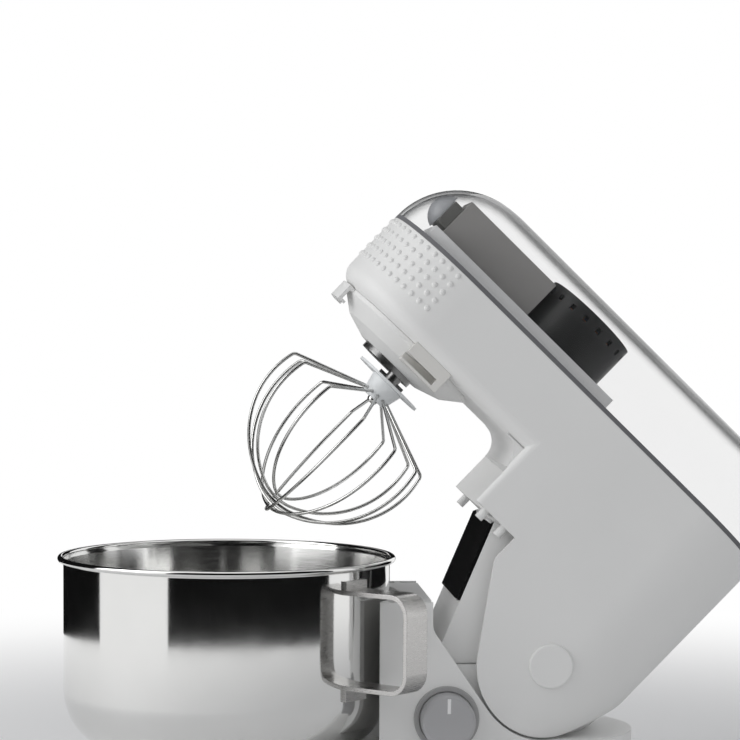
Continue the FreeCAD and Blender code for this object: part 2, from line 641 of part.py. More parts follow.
CENTRES = MODULE * (WHEEL_TEETH + PINION_TEETH) / 2     # distance between neighbouring shafts
LAY_Y = CENTRES
MOTOR_Y = 2 * CENTRES
ORBIT_R = MODULE * (RING_TEETH - PLANET_TEETH) / 2
ORBIT_X = ORBIT_R * math.sin(math.radians(ORBIT_ANGLE))
ORBIT_Y = ORBIT_R * math.cos(math.radians(ORBIT_ANGLE))
RING_R = MODULE * RING_TEETH / 2 + RING_WALL
FLOOR_Z = ARM_BOTTOM + SHELL                # top of the shell's floor
TRAY_TOP_FLOOR = FLOOR_Z + TRAY_FLOOR
BOX_LOW = TRAY_TOP_FLOOR + BEARING_PLATE    # underside of the gearbox casing
DRIVE_Z = BOX_LOW + 3.0                     # underside of the drive gear
LAY_Z = DRIVE_Z + GEAR_W + 3.0              # underside of the layshaft's large gear
LAY_W = 7.0
PLANET_Z = CARRIER_Z + CARRIER_THICK + 2.0
BOX_FRONT = -(MODULE * WHEEL_TEETH / 2 + MODULE + 0.5 + BOX_WALL)
BOX_REAR = MOTOR_Y - MOTOR_R - CLEAR
MOTOR_LOW = BOX_LOW_TOP                     # underside of the motor case
STATOR_Z = MOTOR_LOW + 14.0
COMM_TOP = MOTOR_TOP - MOTOR_LID - CLEAR     # top of the commutator
RING_LOW = PLANET_Z - 0.5                   # underside of the ring gear


def head_outer():
    arm = head_pill(0.0, ARM_BOTTOM, RIM_Z)
    arm = arm.makeFillet(ARM_ROUND, level_edges(arm, ARM_BOTTOM))
    width = HEAD_R + 1
    neck = join([box(-width, width, NECK_FRONT, HINGE_Y + HEAD_R, NECK_BOTTOM, RIM_Z),
                 box(-width, width, CHEEK_NOSE[0], HINGE_Y + HEAD_R, TAIL_Z + TAIL_R, RIM_Z),
                 box(-width, width, CHEEK_FRONT, HINGE_Y, CHEEK_FRONT_Z, RIM_Z),
                 side_pair(CHEEK_NOSE, CHEEK_FRONT_R, HINGE, CHEEK_R, width),
                 side_pair(HINGE, CHEEK_R, TAIL_CORNER, TAIL_R, width)])
    neck = neck.common(head_pill(0.0, 0, RIM_Z))
    corners = [e for e in neck.Edges
               if abs(e.BoundBox.YMax - NECK_FRONT) < 1e-6 and e.BoundBox.ZLength > NECK_FILLET]
    neck = neck.makeFillet(NECK_CORNER, corners)
    y, z, r = NECK_FRONT, ARM_BOTTOM, NECK_FILLET
    half = HEAD_R - NECK_CORNER
    web = box(-half, half, y - r, y + 1, z - r, z + 1).cut(rod_x(r, -HEAD_R, HEAD_R, y - r, z - r))
    return join([arm, neck, web])


def nubs():
    """Raised nubs in rows round the nose, from one side to the other."""
    step = math.degrees(NUB_PITCH / HEAD_R)
    first = -step * (NUB_COLUMNS - 1) / 2
    shapes = []
    for row in range(NUB_ROWS):
        z = NUB_LOW_Z + row * NUB_PITCH
        for column in range(NUB_COLUMNS):
            nub = Part.makeCone(NUB_R, NUB_R * 0.6, NUB_H + 0.5, V(0, -HEAD_R + 0.5, z), V(0, -1, 0))
            nub.rotate(V(0, 0, 0), V(0, 0, 1), first + step * column)
            shapes.append(nub)
    return shapes


def arm_inside(gap):
    """Hollow of the arm, with its rounded lower edges."""
    hollow = head_pill(SHELL + gap, FLOOR_Z, COVER_TOP)
    return hollow.makeFillet(ARM_ROUND - SHELL, level_edges(hollow, FLOOR_Z))


def head_shell():
    inner_arm = arm_inside(0.0)
    hollow = head_pill(SHELL, 0, RIM_Z)
    hollow = hollow.cut(box(-HEAD_R, HEAD_R, -HEAD_R, NECK_FRONT + SHELL, 0, RIM_Z))
    recess_top = BOWL_RIM_Z + NECK_ROOM
    hollow = hollow.cut(rod(NECK_RECESS_R + SHELL, 0, recess_top + SHELL))
    shell = head_outer().cut(rod(NECK_RECESS_R, 0, recess_top)).cut(join([inner_arm, hollow]))
    shell = shell.cut(rod(RING_R + CLEAR, 0, RIM_Z))

    ledges = []
    inward = 1.5 * PEG_R
    width = HEAD_R - SHELL / 2 - PEG_X + inward
    ledge_z = NECK_BOTTOM + PEG_LEDGE_Z
    for x in (PEG_X - inward, -HEAD_R + SHELL / 2):
        ledge = box(x, x + width, PEG_Y[0] - 3 * PEG_R, PEG_Y[1] + 2 * PEG_R, ledge_z, ledge_z + PEG_SEAT)
        ledges.append(ledge.cut(rod(NECK_RECESS_R + 1, 0, RIM_Z)))
    bosses = [rod_x(BOSS_R, BOSS_IN, HEAD_R - 1, HINGE_Y, HINGE_Z),
              rod_x(BOSS_R, -HEAD_R + 1, LATCH_IN, HINGE_Y, HINGE_Z)]
    shell = join([shell] + ledges + bosses + nubs())
    shell = shell.cut(rod_x(PIN_R + BUSH_WALL, -HEAD_R - 1, HEAD_R + 1, HINGE_Y, HINGE_Z))
    for x in (-PEG_X, PEG_X):
        for y in PEG_Y:
            shell = shell.cut(rod(PEG_R, 0, ARM_BOTTOM, x, y))
    return shell


def cover_dome(inset, z0):
    top = COVER_TOP - inset
    dome = head_pill(inset, ARM_BOTTOM, top)
    dome = dome.makeFillet(COVER_ROUND - inset, level_edges(dome, top))
    return dome.cut(head_pill(-1.0, 0, z0))


def casing_pieces():
    pieces = {"head_shell": head_shell()}
    cover_z = RIM_Z + RIM_SEAL
    pieces["clear_cover"] = cover_dome(0.0, cover_z).cut(cover_dome(COVER_WALL, cover_z))
    pieces["cover_seal"] = head_pill(0.0, RIM_Z, cover_z).cut(head_pill(SHELL + 1, RIM_Z, cover_z))

    peg_top = NECK_BOTTOM + PEG_LEDGE_Z + PEG_SEAT + PEG_R
    pegs = [rod(PEG_R, NECK_BOTTOM - PEG_DROP, peg_top, x, y)
            for x in (-PEG_X, PEG_X) for y in PEG_Y]
    pieces["neck_pegs"] = Part.makeCompound(pegs)
    bushes = [ring_x(PIN_R + BUSH_WALL, PIN_R + RUN, BOSS_IN, HEAD_R, HINGE_Y, HINGE_Z),
              ring_x(PIN_R + BUSH_WALL, PIN_R + RUN, -HEAD_R, LATCH_IN, HINGE_Y, HINGE_Z)]
    pieces["hinge_bushes"] = Part.makeCompound(bushes)
    cap = rod_x(CAP_R, HEAD_R + CLEAR, HEAD_R + CLEAR + CAP_THICK, HINGE_Y, HINGE_Z)
    skirt = ring_x(CAP_R, CAP_R - 2, HEAD_R, HEAD_R + CLEAR, HINGE_Y, HINGE_Z)
    cap = join([cap, skirt])
    outer = [e for e in cap.Edges if e.BoundBox.XMin > HEAD_R + CLEAR + CAP_THICK - 1e-3]
    pieces["hinge_caps"] = both_sides(cap.makeFillet(1.6, outer))

    plate = ring_x(SECTOR_R, BOSS_R, LATCH_IN - SECTOR_THICK, LATCH_IN, HINGE_Y, HINGE_Z)
    for angle in (0.0, HEAD_TILT):
        notch = box(-HEAD_R, 0, HINGE_Y - BOLT_W / 2 - CLEAR, HINGE_Y + BOLT_W / 2 + CLEAR,
                    HINGE_Z - SECTOR_R - 1, HINGE_Z - SECTOR_R + NOTCH_DEPTH)
        notch.rotate(V(0, HINGE_Y, HINGE_Z), V(1, 0, 0), angle)
        plate = plate.cut(notch)
    pieces["latch_sector"] = plate

    collar = spun([(COLLAR_TOP_R, ARM_BOTTOM), (COLLAR_TOP_R, ARM_BOTTOM - COLLAR_RIM),
                   (COLLAR_MID_R, COLLAR_MID_Z),
                   (COLLAR_LOW_R, COLLAR_LOW_Z), (CARRIER_R + CLEAR, COLLAR_LOW_Z),
                   (CARRIER_R + CLEAR, RING_LOW), (RING_R + CLEAR, RING_LOW),
                   (RING_R + CLEAR, ARM_BOTTOM)])
    hollow = spun([(COLLAR_TOP_R - COLLAR_WALL, ARM_BOTTOM),
                   (COLLAR_MID_R - 1, COLLAR_MID_Z + COLLAR_WALL),
                   (RING_R + 4, COLLAR_MID_Z), (RING_R + 4, ARM_BOTTOM)])
    pieces["planetary_collar"] = collar.cut(hollow)

    lip = sector(LIP_R, LIP_R - 2.5, ARM_BOTTOM - LIP_DROP, ARM_BOTTOM, 180, LIP_ANGLE)
    hook = sector(LIP_R, LIP_R - 6, ARM_BOTTOM - LIP_DROP, ARM_BOTTOM - LIP_DROP + 2, 180, LIP_ANGLE)
    pad = sector(LIP_R, COLLAR_TOP_R + RUN, ARM_BOTTOM - COLLAR_RIM, ARM_BOTTOM, 180, LIP_ANGLE)
    lip = join([lip, hook, pad])
    floor = head_pill(0.0, 0, ARM_BOTTOM + ARM_ROUND)
    pieces["guard_lip"] = lip.common(floor)

    low = ARM_BOTTOM - RAIL_DROP
    rail = box(RAIL_IN, RAIL_OUT, RAIL_FRONT, RAIL_REAR, low, ARM_BOTTOM + ARM_ROUND)
    slot = box(RAIL_IN + 5, RAIL_OUT + 1, RAIL_FRONT - 1, RAIL_REAR - 5, low + 2, low + 2 + RAIL_SLOT)
    rail = rail.cut(slot).cut(rod(COLLAR_TOP_R, ARM_BOTTOM - COLLAR_RIM - CLEAR, ARM_BOTTOM + CLEAR))
    edge_z = ARM_BOTTOM - COLLAR_RIM - CLEAR
    cone = spun([(0, COLLAR_MID_Z), (COLLAR_MID_R + CLEAR, COLLAR_MID_Z),
                 (COLLAR_TOP_R + CLEAR, edge_z), (0, edge_z)])
    rail = rail.cut(cone).cut(head_outer_floor())
    pieces["guard_rails"] = both_sides(max(rail.Solids, key=lambda s: s.Volume))
    return pieces


def head_outer_floor():
    """The arm's rounded lower side, to seat pieces against it."""
    arm = head_pill(0.0, ARM_BOTTOM, RIM_Z)
    arm = arm.makeFillet(ARM_ROUND, level_edges(arm, ARM_BOTTOM))
    arm.translate(V(0, 0, -RUN))
    return arm


def gearbox_pieces():
    outer = box(-TRAY_HALF, TRAY_HALF, TRAY_FRONT, TRAY_REAR, FLOOR_Z, TRAY_TOP)
    w = TRAY_WALL
    half = TRAY_HALF - w
    inner = box(-half, half, TRAY_FRONT + w, TRAY_REAR + 1, TRAY_TOP_FLOOR, TRAY_TOP + 1)
    tray = outer.cut(inner).cut(rod(RING_R + CLEAR, 0, RIM_Z)).common(arm_inside(CLEAR))
    plate = box(-BOX_HALF, BOX_HALF, BOX_FRONT, MOTOR_Y + MOTOR_R, TRAY_TOP_FLOOR, BOX_LOW)
    screws = []
    for x in (-TRAY_SCREW_X, TRAY_SCREW_X):
        for y in ((TRAY_FRONT + w + BOX_FRONT) / 2, TRAY_REAR - 2 * w):
            screws.append(rod(TRAY_SCREW_R, TRAY_TOP_FLOOR, TRAY_TOP_FLOOR + TRAY_SCREW_R, x, y))
    pieces = {"chassis_tray": tray, "tray_screws": Part.makeCompound(screws)}

    t = BOX_WALL
    rear = MOTOR_Y + MOTOR_R
    tall = box(-BOX_TALL_HALF, BOX_TALL_HALF, BOX_FRONT, BOX_REAR, BOX_LOW, BOX_TOP)
    low = box(-BOX_HALF, BOX_HALF, BOX_FRONT, rear, BOX_LOW, BOX_LOW_TOP)
    casing = join([tall, low])
    rooms = ((BOX_TALL_HALF - t, BOX_REAR - t, BOX_TOP - t), (BOX_HALF - t, rear - t, BOX_LOW_TOP - t))
    for half, back, top in rooms:
        casing = casing.cut(box(-half, half, BOX_FRONT + t, back, BOX_LOW, top))
    bushes = []
    bridge_z = LAY_Z + LAY_W + 2
    bridge = box(-BOX_TALL_HALF + t / 2, BOX_TALL_HALF - t / 2, BOX_FRONT + t / 2, LAY_Y + BUSH_R + 2,
                 bridge_z, bridge_z + 5)
    casing = join([casing, bridge])
    places = [(0.0, CARRIER_SHAFT_R, bridge_z + 5), (LAY_Y, LAY_SHAFT_R, bridge_z + 5)]
    for y, shaft_r, top in places:
        plate = plate.cut(rod(BUSH_R, TRAY_TOP_FLOOR, BOX_LOW, 0, y))
        casing = casing.cut(rod(BUSH_R, bridge_z, bridge_z + 5, 0, y))
        bushes.append(ring(BUSH_R, shaft_r + RUN, TRAY_TOP_FLOOR, BOX_LOW, 0, y))
        bushes.append(ring(BUSH_R, shaft_r + RUN, bridge_z, top, 0, y))
    casing = casing.cut(rod(BUSH_R, BOX_LOW, BOX_LOW_TOP + 1, 0, MOTOR_Y))
    motor_bush = ring(BUSH_R, MOTOR_SHAFT_R + RUN, BOX_LOW_TOP - t, BOX_LOW_TOP, 0, MOTOR_Y)
    pieces["bearing_plate"] = plate
    pieces["gearbox_casing"] = casing
    top_bush = ring(MOTOR_SHAFT_R + 3, MOTOR_SHAFT_R + RUN, MOTOR_TOP - MOTOR_LID, MOTOR_TOP, 0, MOTOR_Y)
    pieces["shaft_bushes"] = Part.makeCompound(bushes + [motor_bush, top_bush])

    end_y = BOX_FRONT - END_THICK
    end = box(-END_HALF, END_HALF, end_y, BOX_FRONT, CAP_Z - END_DROP, CAP_Z + END_RISE)
    pieces["end_plate"] = end.makeFillet(END_ROUND, [e for e in end.Edges if e.BoundBox.YLength > END_ROUND])
    ball = Part.makeSphere(CAP_BALL_R, V(0, end_y + CAP_SINK, CAP_Z))
    before = box(-HEAD_R, HEAD_R, end_y - HEAD_R, end_y, ARM_BOTTOM, COVER_TOP)
    pieces["bearing_cap"] = ball.common(before)

    gear_ring = rod(RING_R, RING_LOW, TRAY_TOP_FLOOR)
    teeth = gear_face(RING_TEETH, MODULE, RING_LOW, inner=True).extrude(V(0, 0, PLANET_W + 1.5))
    teeth.rotate(V(0, 0, 0), V(0, 0, 1), -ORBIT_ANGLE)
    above = rod(MODULE * RING_TEETH / 2 + 2 * MODULE, PLANET_Z + PLANET_W + 1, TRAY_TOP_FLOOR)
    pieces["ring_gear"] = gear_ring.cut(teeth).cut(above)
    return pieces


def motor_pieces():
    y = MOTOR_Y
    case = ring(MOTOR_R, MOTOR_R - MOTOR_WALL, MOTOR_LOW, MOTOR_TOP, 0, y)
    lid = ring(MOTOR_R, MOTOR_SHAFT_R + 3, MOTOR_TOP - MOTOR_LID, MOTOR_TOP, 0, y)
    case = join([case, lid])
    for slot in range(SLOT_COUNT):
        cut = box(-1.6, 1.6, MOTOR_R - 6, MOTOR_R + 2, STATOR_Z + STATOR_H + 3, MOTOR_TOP - 5)
        low = box(-1.6, 1.6, MOTOR_R - 6, MOTOR_R + 2, MOTOR_LOW + 3, STATOR_Z - 3)
        for opening in (cut, low):
            opening.rotate(V(0, 0, 0), V(0, 0, 1), slot * 360 / SLOT_COUNT)
            opening.translate(V(0, y, 0))
            case = case.cut(opening)

    bore = ROTOR_R + AIR_GAP
    stator = ring(MOTOR_R - MOTOR_WALL - RUN, COIL_OUT + CLEAR, STATOR_Z, STATOR_Z + STATOR_H)
    stator_top = STATOR_Z + STATOR_H
    coil_top = stator_top + COIL_PROUD
    pole = 2 * POLE_HALF_ANGLE
    poles = []
    coils = []
    for side in (90, 270):
        poles.append(sector(COIL_OUT + 1, bore, STATOR_Z, stator_top, side, pole))
        coil = sector(COIL_OUT, COIL_IN, STATOR_Z - COIL_PROUD, coil_top, side, COIL_ANGLE)
        room = sector(COIL_OUT + 1, COIL_IN - 1, STATOR_Z - CLEAR, stator_top + CLEAR, side, pole + 2)
        coils.append(coil.cut(room))
    stator = join([stator] + poles)
    reach = MOTOR_R - MOTOR_WALL - 2 * CLEAR
    holder = box(COMM_R + CLEAR, reach, -BRUSH_HALF, BRUSH_HALF, coil_top + CLEAR, COMM_TOP)
    fixed = {"motor_stator": stator, "field_coils": Part.makeCompound(coils),
             "brush_holders": both_sides(holder)}

    low = LAY_Z - 1
    shaft = rod(MOTOR_SHAFT_R, low, MOTOR_TOP + 1)
    core = ring(ROTOR_R, MOTOR_SHAFT_R, STATOR_Z, STATOR_Z + STATOR_H)
    for slot in range(12):
        groove = box(-1.2, 1.2, ROTOR_R - 6, ROTOR_R + 1, STATOR_Z - 1, STATOR_Z + STATOR_H + 1)
        groove.rotate(V(0, 0, 0), V(0, 0, 1), slot * 30)
        core = core.cut(groove)
    commutator = ring(COMM_R, MOTOR_SHAFT_R, STATOR_Z + STATOR_H + 1, COMM_TOP)
    hub = ring(8, MOTOR_SHAFT_R, MOTOR_LOW + 2, MOTOR_LOW + 7)
    blades = []
    for blade in range(9):
        vane = box(-0.8, 0.8, 7, MOTOR_R - MOTOR_WALL - 4, MOTOR_LOW + 2, MOTOR_LOW + 7)
        vane.rotate(V(0, 0, 0), V(0, 0, 1), blade * 40)
        blades.append(vane)
    moving = {"motor_shaft": shaft, "rotor_core": core, "commutator": commutator,
              "motor_fan": join([hub] + blades)}
    for shape in list(fixed.values()) + list(moving.values()):
        shape.translate(V(0, y, 0))
    fixed["motor_case"] = case
    moving["motor_pinion"] = gear(PINION_TEETH, MODULE, LAY_Z - 1, LAY_Z + LAY_W + 1, MOTOR_SHAFT_R, y)
    return fixed, moving


def layshaft_pieces():
    top = LAY_Z + LAY_W + 2 + 5
    shaft = rod(LAY_SHAFT_R, TRAY_TOP_FLOOR, top, 0, LAY_Y)
    pinion = gear(PINION_TEETH, MODULE, DRIVE_Z - 1, DRIVE_Z + GEAR_W + 1, LAY_SHAFT_R, LAY_Y)
    wheel = gear(WHEEL_TEETH, MODULE, LAY_Z, LAY_Z + LAY_W, LAY_SHAFT_R, LAY_Y)
    return {"layshaft": shaft, "layshaft_gear": wheel, "layshaft_pinion": pinion}


def carrier_pieces():
    top = LAY_Z + LAY_W + 2 + 5
    disc = ring(CARRIER_R, CARRIER_SHAFT_R, CARRIER_Z, CARRIER_Z + CARRIER_THICK)
    disc = disc.cut(rod(SPINDLE_R + RUN, CARRIER_Z, CARRIER_Z + CARRIER_THICK, ORBIT_X, ORBIT_Y))
    shaft = rod(CARRIER_SHAFT_R, CARRIER_Z, top)
    return {"carrier_disc": disc, "carrier_shaft": shaft,
            "drive_gear": gear(WHEEL_TEETH, MODULE, DRIVE_Z, DRIVE_Z + GEAR_W, CARRIER_SHAFT_R)}


def whisk_loop(index):
    """One wire loop: root, shoulder, bulging side and round end, mirrored about the axis."""
    tip = WIRE_TIP_Z + index * WIRE_STEP
    drop = WIDEST_Z - tip - TIP_BEND
    side = (WIDEST_R ** 2 + drop ** 2 - TIP_BEND ** 2) / (2 * (WIDEST_R - TIP_BEND))
    side_x = WIDEST_R - side
    meet = math.atan2(-drop, -side_x)
    bend_z = SHOULDER_Z - SHOULDER_BEND
    bulge = math.asin((bend_z - WIDEST_Z) / (side - SHOULDER_BEND))
    bend_x = side_x + (side - SHOULDER_BEND) * math.cos(bulge)

    def on_side(angle):
        return (side_x + side * math.cos(angle), WIDEST_Z + side * math.sin(angle))

    slope = math.atan2(SHOULDER_Z - WIRE_ROOT_Z, bend_x - WIRE_ROOT_R)
    normal = slope + math.pi / 2

    def on_shoulder(angle):
        return (bend_x + SHOULDER_BEND * math.cos(angle), bend_z + SHOULDER_BEND * math.sin(angle))

    top = on_shoulder(normal)
    root = (WIRE_ROOT_R, top[1] - (top[0] - WIRE_ROOT_R) * math.tan(slope))
    half = [("line", root, top), ("arc", top, on_shoulder((normal + bulge) / 2), on_shoulder(bulge)),
            ("arc", on_side(bulge), on_side((bulge + meet) / 2), on_side(meet))]

    def place(point, sign):
        return V(sign * point[0], 0, point[1])

    edges = []
    for sign in (1, -1):
        for kind, *points in half:
            spots = [place(p, sign) for p in points]
            edges.append(Part.makeLine(*spots) if kind == "line" else Part.Arc(*spots).toShape())
    low = on_side(meet)
    edges.append(Part.Arc(place(low, 1), V(0, 0, tip), place(low, -1)).toShape())
    path = Part.Wire(Part.__sortEdges__(edges))
    along = place(top, 1) - place(root, 1)
    profile = Part.Wire(Part.makeCircle(WIRE_R, place(root, 1), along))
    loop = path.makePipeShell([profile], True, False)
    loop.rotate(V(0, 0, 0), V(0, 0, 1), index * 180 / WIRE_LOOPS)
    return loop


def planet_pieces():
    planet = gear(PLANET_TEETH, MODULE, PLANET_Z, PLANET_Z + PLANET_W, PLANET_SHAFT_R)
    planet.rotate(V(0, 0, 0), V(0, 0, 1), -ORBIT_ANGLE)
    pin_z = FLANGE_Z + FLANGE_THICK + PIN_CROSS_R + CLEAR / 2
    pin = rod_y(PIN_CROSS_R, -PIN_CROSS_L / 2, PIN_CROSS_L / 2, 0, pin_z)
    upper = rod(PLANET_SHAFT_R, PLANET_Z - 1, PLANET_Z + PLANET_W)
    spindle = join([rod(SPINDLE_R, WIRE_ROOT_Z + 2, PLANET_Z - 0.5), upper]).cut(pin)

    flange = ring(FLANGE_R, SPINDLE_R + RUN, FLANGE_Z, FLANGE_Z + FLANGE_THICK)
    hub = Part.makeCone(HUB_LOW_R, HUB_TOP_R, FLANGE_Z - HUB_LOW_Z, V(0, 0, HUB_LOW_Z))
    hub = hub.cut(rod(SPINDLE_R + RUN, WIRE_ROOT_Z + 2, FLANGE_Z))
    loops = [whisk_loop(i) for i in range(WIRE_LOOPS)]
    hub = hub.cut(loops)
    screw = Part.makeSphere(4, V(0, 0, HUB_LOW_Z)).common(rod(4, HUB_LOW_Z - 3, HUB_LOW_Z))
    pieces = {"planet_gear": planet, "spindle": spindle, "cross_pin": pin, "whisk_flange": flange,
              "whisk_hub": hub, "whisk_wires": Part.makeCompound(loops), "hub_screw": screw}
    for shape in pieces.values():
        shape.translate(V(ORBIT_X, ORBIT_Y, 0))
    return pieces


def origin_y():
    """Middle of the object from front to back, between the bowl's rim and the tilted cover."""
    tilt = math.radians(HEAD_TILT)
    along = HEAD_R - COVER_ROUND
    up = COVER_TOP - COVER_ROUND - HINGE_Z
    rear = HINGE_Y + along * math.cos(tilt) + up * math.sin(tilt) + COVER_ROUND
    return (rear - BOWL_RIM_R) / 2


def all_pieces():
    fixed = {**stand_pieces(), **latch_pieces(), **knob_pieces(), **bowl_pieces()}
    motor_fixed, motor_moving = motor_pieces()
    head = {**casing_pieces(), **gearbox_pieces(), **motor_fixed, **motor_moving, **layshaft_pieces(),
            **carrier_pieces(), **planet_pieces()}
    for shape in head.values():
        shape.rotate(V(0, HINGE_Y, HINGE_Z), V(1, 0, 0), -HEAD_TILT)
    pieces = {**fixed, **head}
    for shape in pieces.values():
        shape.translate(V(0, -origin_y(), 0))
    return pieces


def main():
    os.makedirs("parts", exist_ok=True)
    for name, shape in all_pieces().items():
        shape.exportStep("parts/" + name + ".step")
        print(name, len(shape.Solids), shape.isValid(), round(shape.Volume))


if __name__ == "__main__":
    main()
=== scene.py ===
import json
import math

import bmesh
import bpy
from bpy.props import FloatProperty, FloatVectorProperty, IntProperty, PointerProperty
from mathutils import Matrix, Vector


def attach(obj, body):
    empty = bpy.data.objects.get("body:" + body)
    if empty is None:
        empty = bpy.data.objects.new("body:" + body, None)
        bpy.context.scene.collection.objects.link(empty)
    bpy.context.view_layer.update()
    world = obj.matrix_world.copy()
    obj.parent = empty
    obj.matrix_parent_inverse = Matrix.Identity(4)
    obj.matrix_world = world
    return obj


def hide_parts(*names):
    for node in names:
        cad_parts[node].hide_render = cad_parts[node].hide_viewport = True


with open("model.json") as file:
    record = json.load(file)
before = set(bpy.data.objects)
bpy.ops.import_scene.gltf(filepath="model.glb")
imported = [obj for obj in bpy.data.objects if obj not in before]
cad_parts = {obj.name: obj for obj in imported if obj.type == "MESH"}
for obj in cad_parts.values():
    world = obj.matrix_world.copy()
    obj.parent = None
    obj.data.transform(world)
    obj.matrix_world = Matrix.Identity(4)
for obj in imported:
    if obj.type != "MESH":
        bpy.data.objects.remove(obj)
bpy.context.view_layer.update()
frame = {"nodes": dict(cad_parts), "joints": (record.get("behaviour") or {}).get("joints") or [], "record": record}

bl_info = {
    "name": "Stand mixer",
    "version": (1, 0, 0),
    "blender": (4, 5, 0),
    "location": "View3D > Sidebar > Mixer",
    "description": "Finishes, wire whisk, bowl and studio for a tilt-head stand mixer",
    "category": "Object",
}

# Metres. The head's pieces are drawn with the head level and the bowl's axis at x = y = 0,
# and then placed with HEAD_PLACE, which tilts them up about the hinge.
RECORD = frame["record"]
SLOT_OF = {part["node"]: part["material_slot"] for part in RECORD["subparts"]}
COLOUR_OF = {m["slot"]: tuple(m["base_color"][:3]) for m in RECORD["materials"]}
JOINTS = {joint["name"]: joint for joint in frame["joints"]}

HEAD_TILT = math.radians(JOINTS["head_tilt"]["range_deg"][1])
HINGE = Vector(JOINTS["head_tilt"]["pos_m"])
BOWL_AXIS = Vector((0.0, JOINTS["bowl_twist"]["pos_m"][1], 0.0))
HEAD_PLACE = (Matrix.Translation(HINGE) @ Matrix.Rotation(-HEAD_TILT, 4, "X")
              @ Matrix.Translation(-HINGE) @ Matrix.Translation(BOWL_AXIS))
HEAD_LEVEL = HEAD_PLACE.inverted()
WHISK_AXIS = HEAD_LEVEL @ Vector(JOINTS["planet_spin"]["pos_m"])

# Nose and nubs
HEAD_R = 0.066              # radius of the round nose
NUB_LOW_Z = 0.2115          # height of the lowest row of nubs, head level
NUB_FLAT = 0.55             # height of a nub as a share of its radius
NUB_SEGMENTS = 14
NUB_RINGS = 8

# Whisk: the lowest of its loops
WHISK_ROOT_R = 0.0075
WHISK_ROOT_Z = 0.149
WIDEST_R = 0.063            # the loops bulge a little below their shoulders
WIDEST_Z = 0.112
SHOULDER_Z = 0.131
SHOULDER_BEND = 0.004
WIRE_TIP_Z = 0.040
WIRE_STEP = 0.0026          # each loop passes this much above the one below it
WIRE_SIDES = 12
TIP_BEND = 0.042
ARC_STEPS = 24

# Bowl
BOWL_RIM_R = 0.116
BOWL_RIM_Z = 0.168
BOWL_WALL_R = 0.112
BOWL_BOTTOM = 0.034
BOWL_CORNER = 0.042
BEAD_R = 0.002
BEAD_ENDS = (-0.35 * math.pi, 1.1 * math.pi)    # angles at which the rolled rim starts and ends
BEAD_STEPS = 16
FLARE = 0.0025              # height over which the wall turns out to the rolled rim
CREASE = 0.0006             # height of the bend at the foot of the flare
THINNED = 0.018             # height over which the sheet thins towards the rim
LEVEL_FACE = 0.5            # a face whose normal rises more than this looks up into the bowl
MERGE_DISTANCE = 1e-6

# Finishes
NOISE_SPAN = (0.25, 0.75)   # the values that noise mostly keeps to
PLASTIC_GRAIN = 1400.0      # grains per metre
COARSE_GRAIN = 900.0
PLASTIC_SPREAD = 0.05       # how far a plastic's roughness wanders to either side
SATIN_DRAW = 0.85           # how far the lathe's rings draw a reflection out
QUARTER_TURN = 0.25
SHEETS_SCALE = 320.0        # density of the stripes on the stack of iron sheets
COVER_ALPHA = (0.04, 0.85)  # density of the clear cover, seen square on and edge-on
COVER_SQUARE = 0.5          # facing value up to which the cover counts as seen square on
COVER_IOR = 1.49
COVER_SHADE = 0.2           # shades are factors on the colour of a slot
# The tray's colour is made lighter by this factor: painted light, making up for the shade it lies in under the
# clear cover.
TRAY_PAINTED_LIGHT = 1.7
TURNED_SHADE = 0.6

# Studio
TARGET = BOWL_AXIS + Vector((0.0, 0.105, 0.220))
FRAME_PIXELS = 740
SENSOR = 36.0
KEY_PLACE = (0.45, -1.7, 1.1)
KEY_SIZE = (1.6, 1.4)
FILL_PLACE = (2.2, 0.4, 1.0)
FILL_SIZE = (1.5, 1.5)
PLAIN_WHITE = (1.0, 1.0, 1.0, 1.0)
SURROUND_TINT = (0.97, 0.98, 1.0, 1.0)
FLOOR_HALF = 4.0
FLOOR_COLOUR = (0.9, 0.9, 0.9, 1.0)
FLOOR_ROUGHNESS = 0.8
FLOOR_FADE = (0.35, 1.1)    # distances over which the floor turns into the plain background
CARD_COLOUR = (0.01, 0.01, 0.01, 1.0)
CARD_R = 0.85
CARD_LOW = 0.003
CARD_HIGH = 1.5
CARD_STEPS = 24
# Name, and start and end in degrees from the mixer's side towards its rear.
DARK_CARDS = (("card_side", -39.0, 70.0), ("card_front", -172.0, -94.0),
              ("card_rear", 106.0, 128.0), ("card_far", 158.0, 184.0))


class MixerColours(bpy.types.PropertyGroup):
    """Colours of the mixer's finishes."""
    __annotations__ = {
        slot: FloatVectorProperty(
            name=slot.replace("_", " ").capitalize(),
            description="Base colour of the " + slot.replace("_", " ") + " finish",
            subtype="COLOR", size=3, min=0.0, max=1.0, default=colour)
        for slot, colour in COLOUR_OF.items()
    }


class MixerSizes(bpy.types.PropertyGroup):
    """Sizes of the pieces that are modelled here."""
    wire_radius: FloatProperty(
        name="Wire radius", description="Radius of the whisk's wires",
        default=0.0011, unit="LENGTH")
    wire_loops: IntProperty(
        name="Wire loops", description="Number of loops in the whisk", default=6, min=2)
    nub_radius: FloatProperty(
        name="Nub radius", description="Radius of a nub on the nose",
        default=0.0020, unit="LENGTH")
    nub_columns: IntProperty(
        name="Nub columns", description="Nubs in one row round the nose", default=26, min=2)
    nub_rows: IntProperty(
        name="Nub rows", description="Rows of nubs", default=5, min=1)
    nub_pitch: FloatProperty(
        name="Nub pitch", description="Distance between neighbouring nubs",
        default=0.0074, unit="LENGTH")
    bowl_wall: FloatProperty(
        name="Bowl wall", description="Thickness of the bowl's sheet",
        default=0.0027, unit="LENGTH")
    bowl_rim_wall: FloatProperty(
        name="Bowl wall at the rim", description="Thickness to which the sheet thins below its rolled rim",
        default=0.0010, unit="LENGTH")
    bowl_steps: IntProperty(
        name="Bowl steps", description="Segments round the bowl", default=160, min=24)


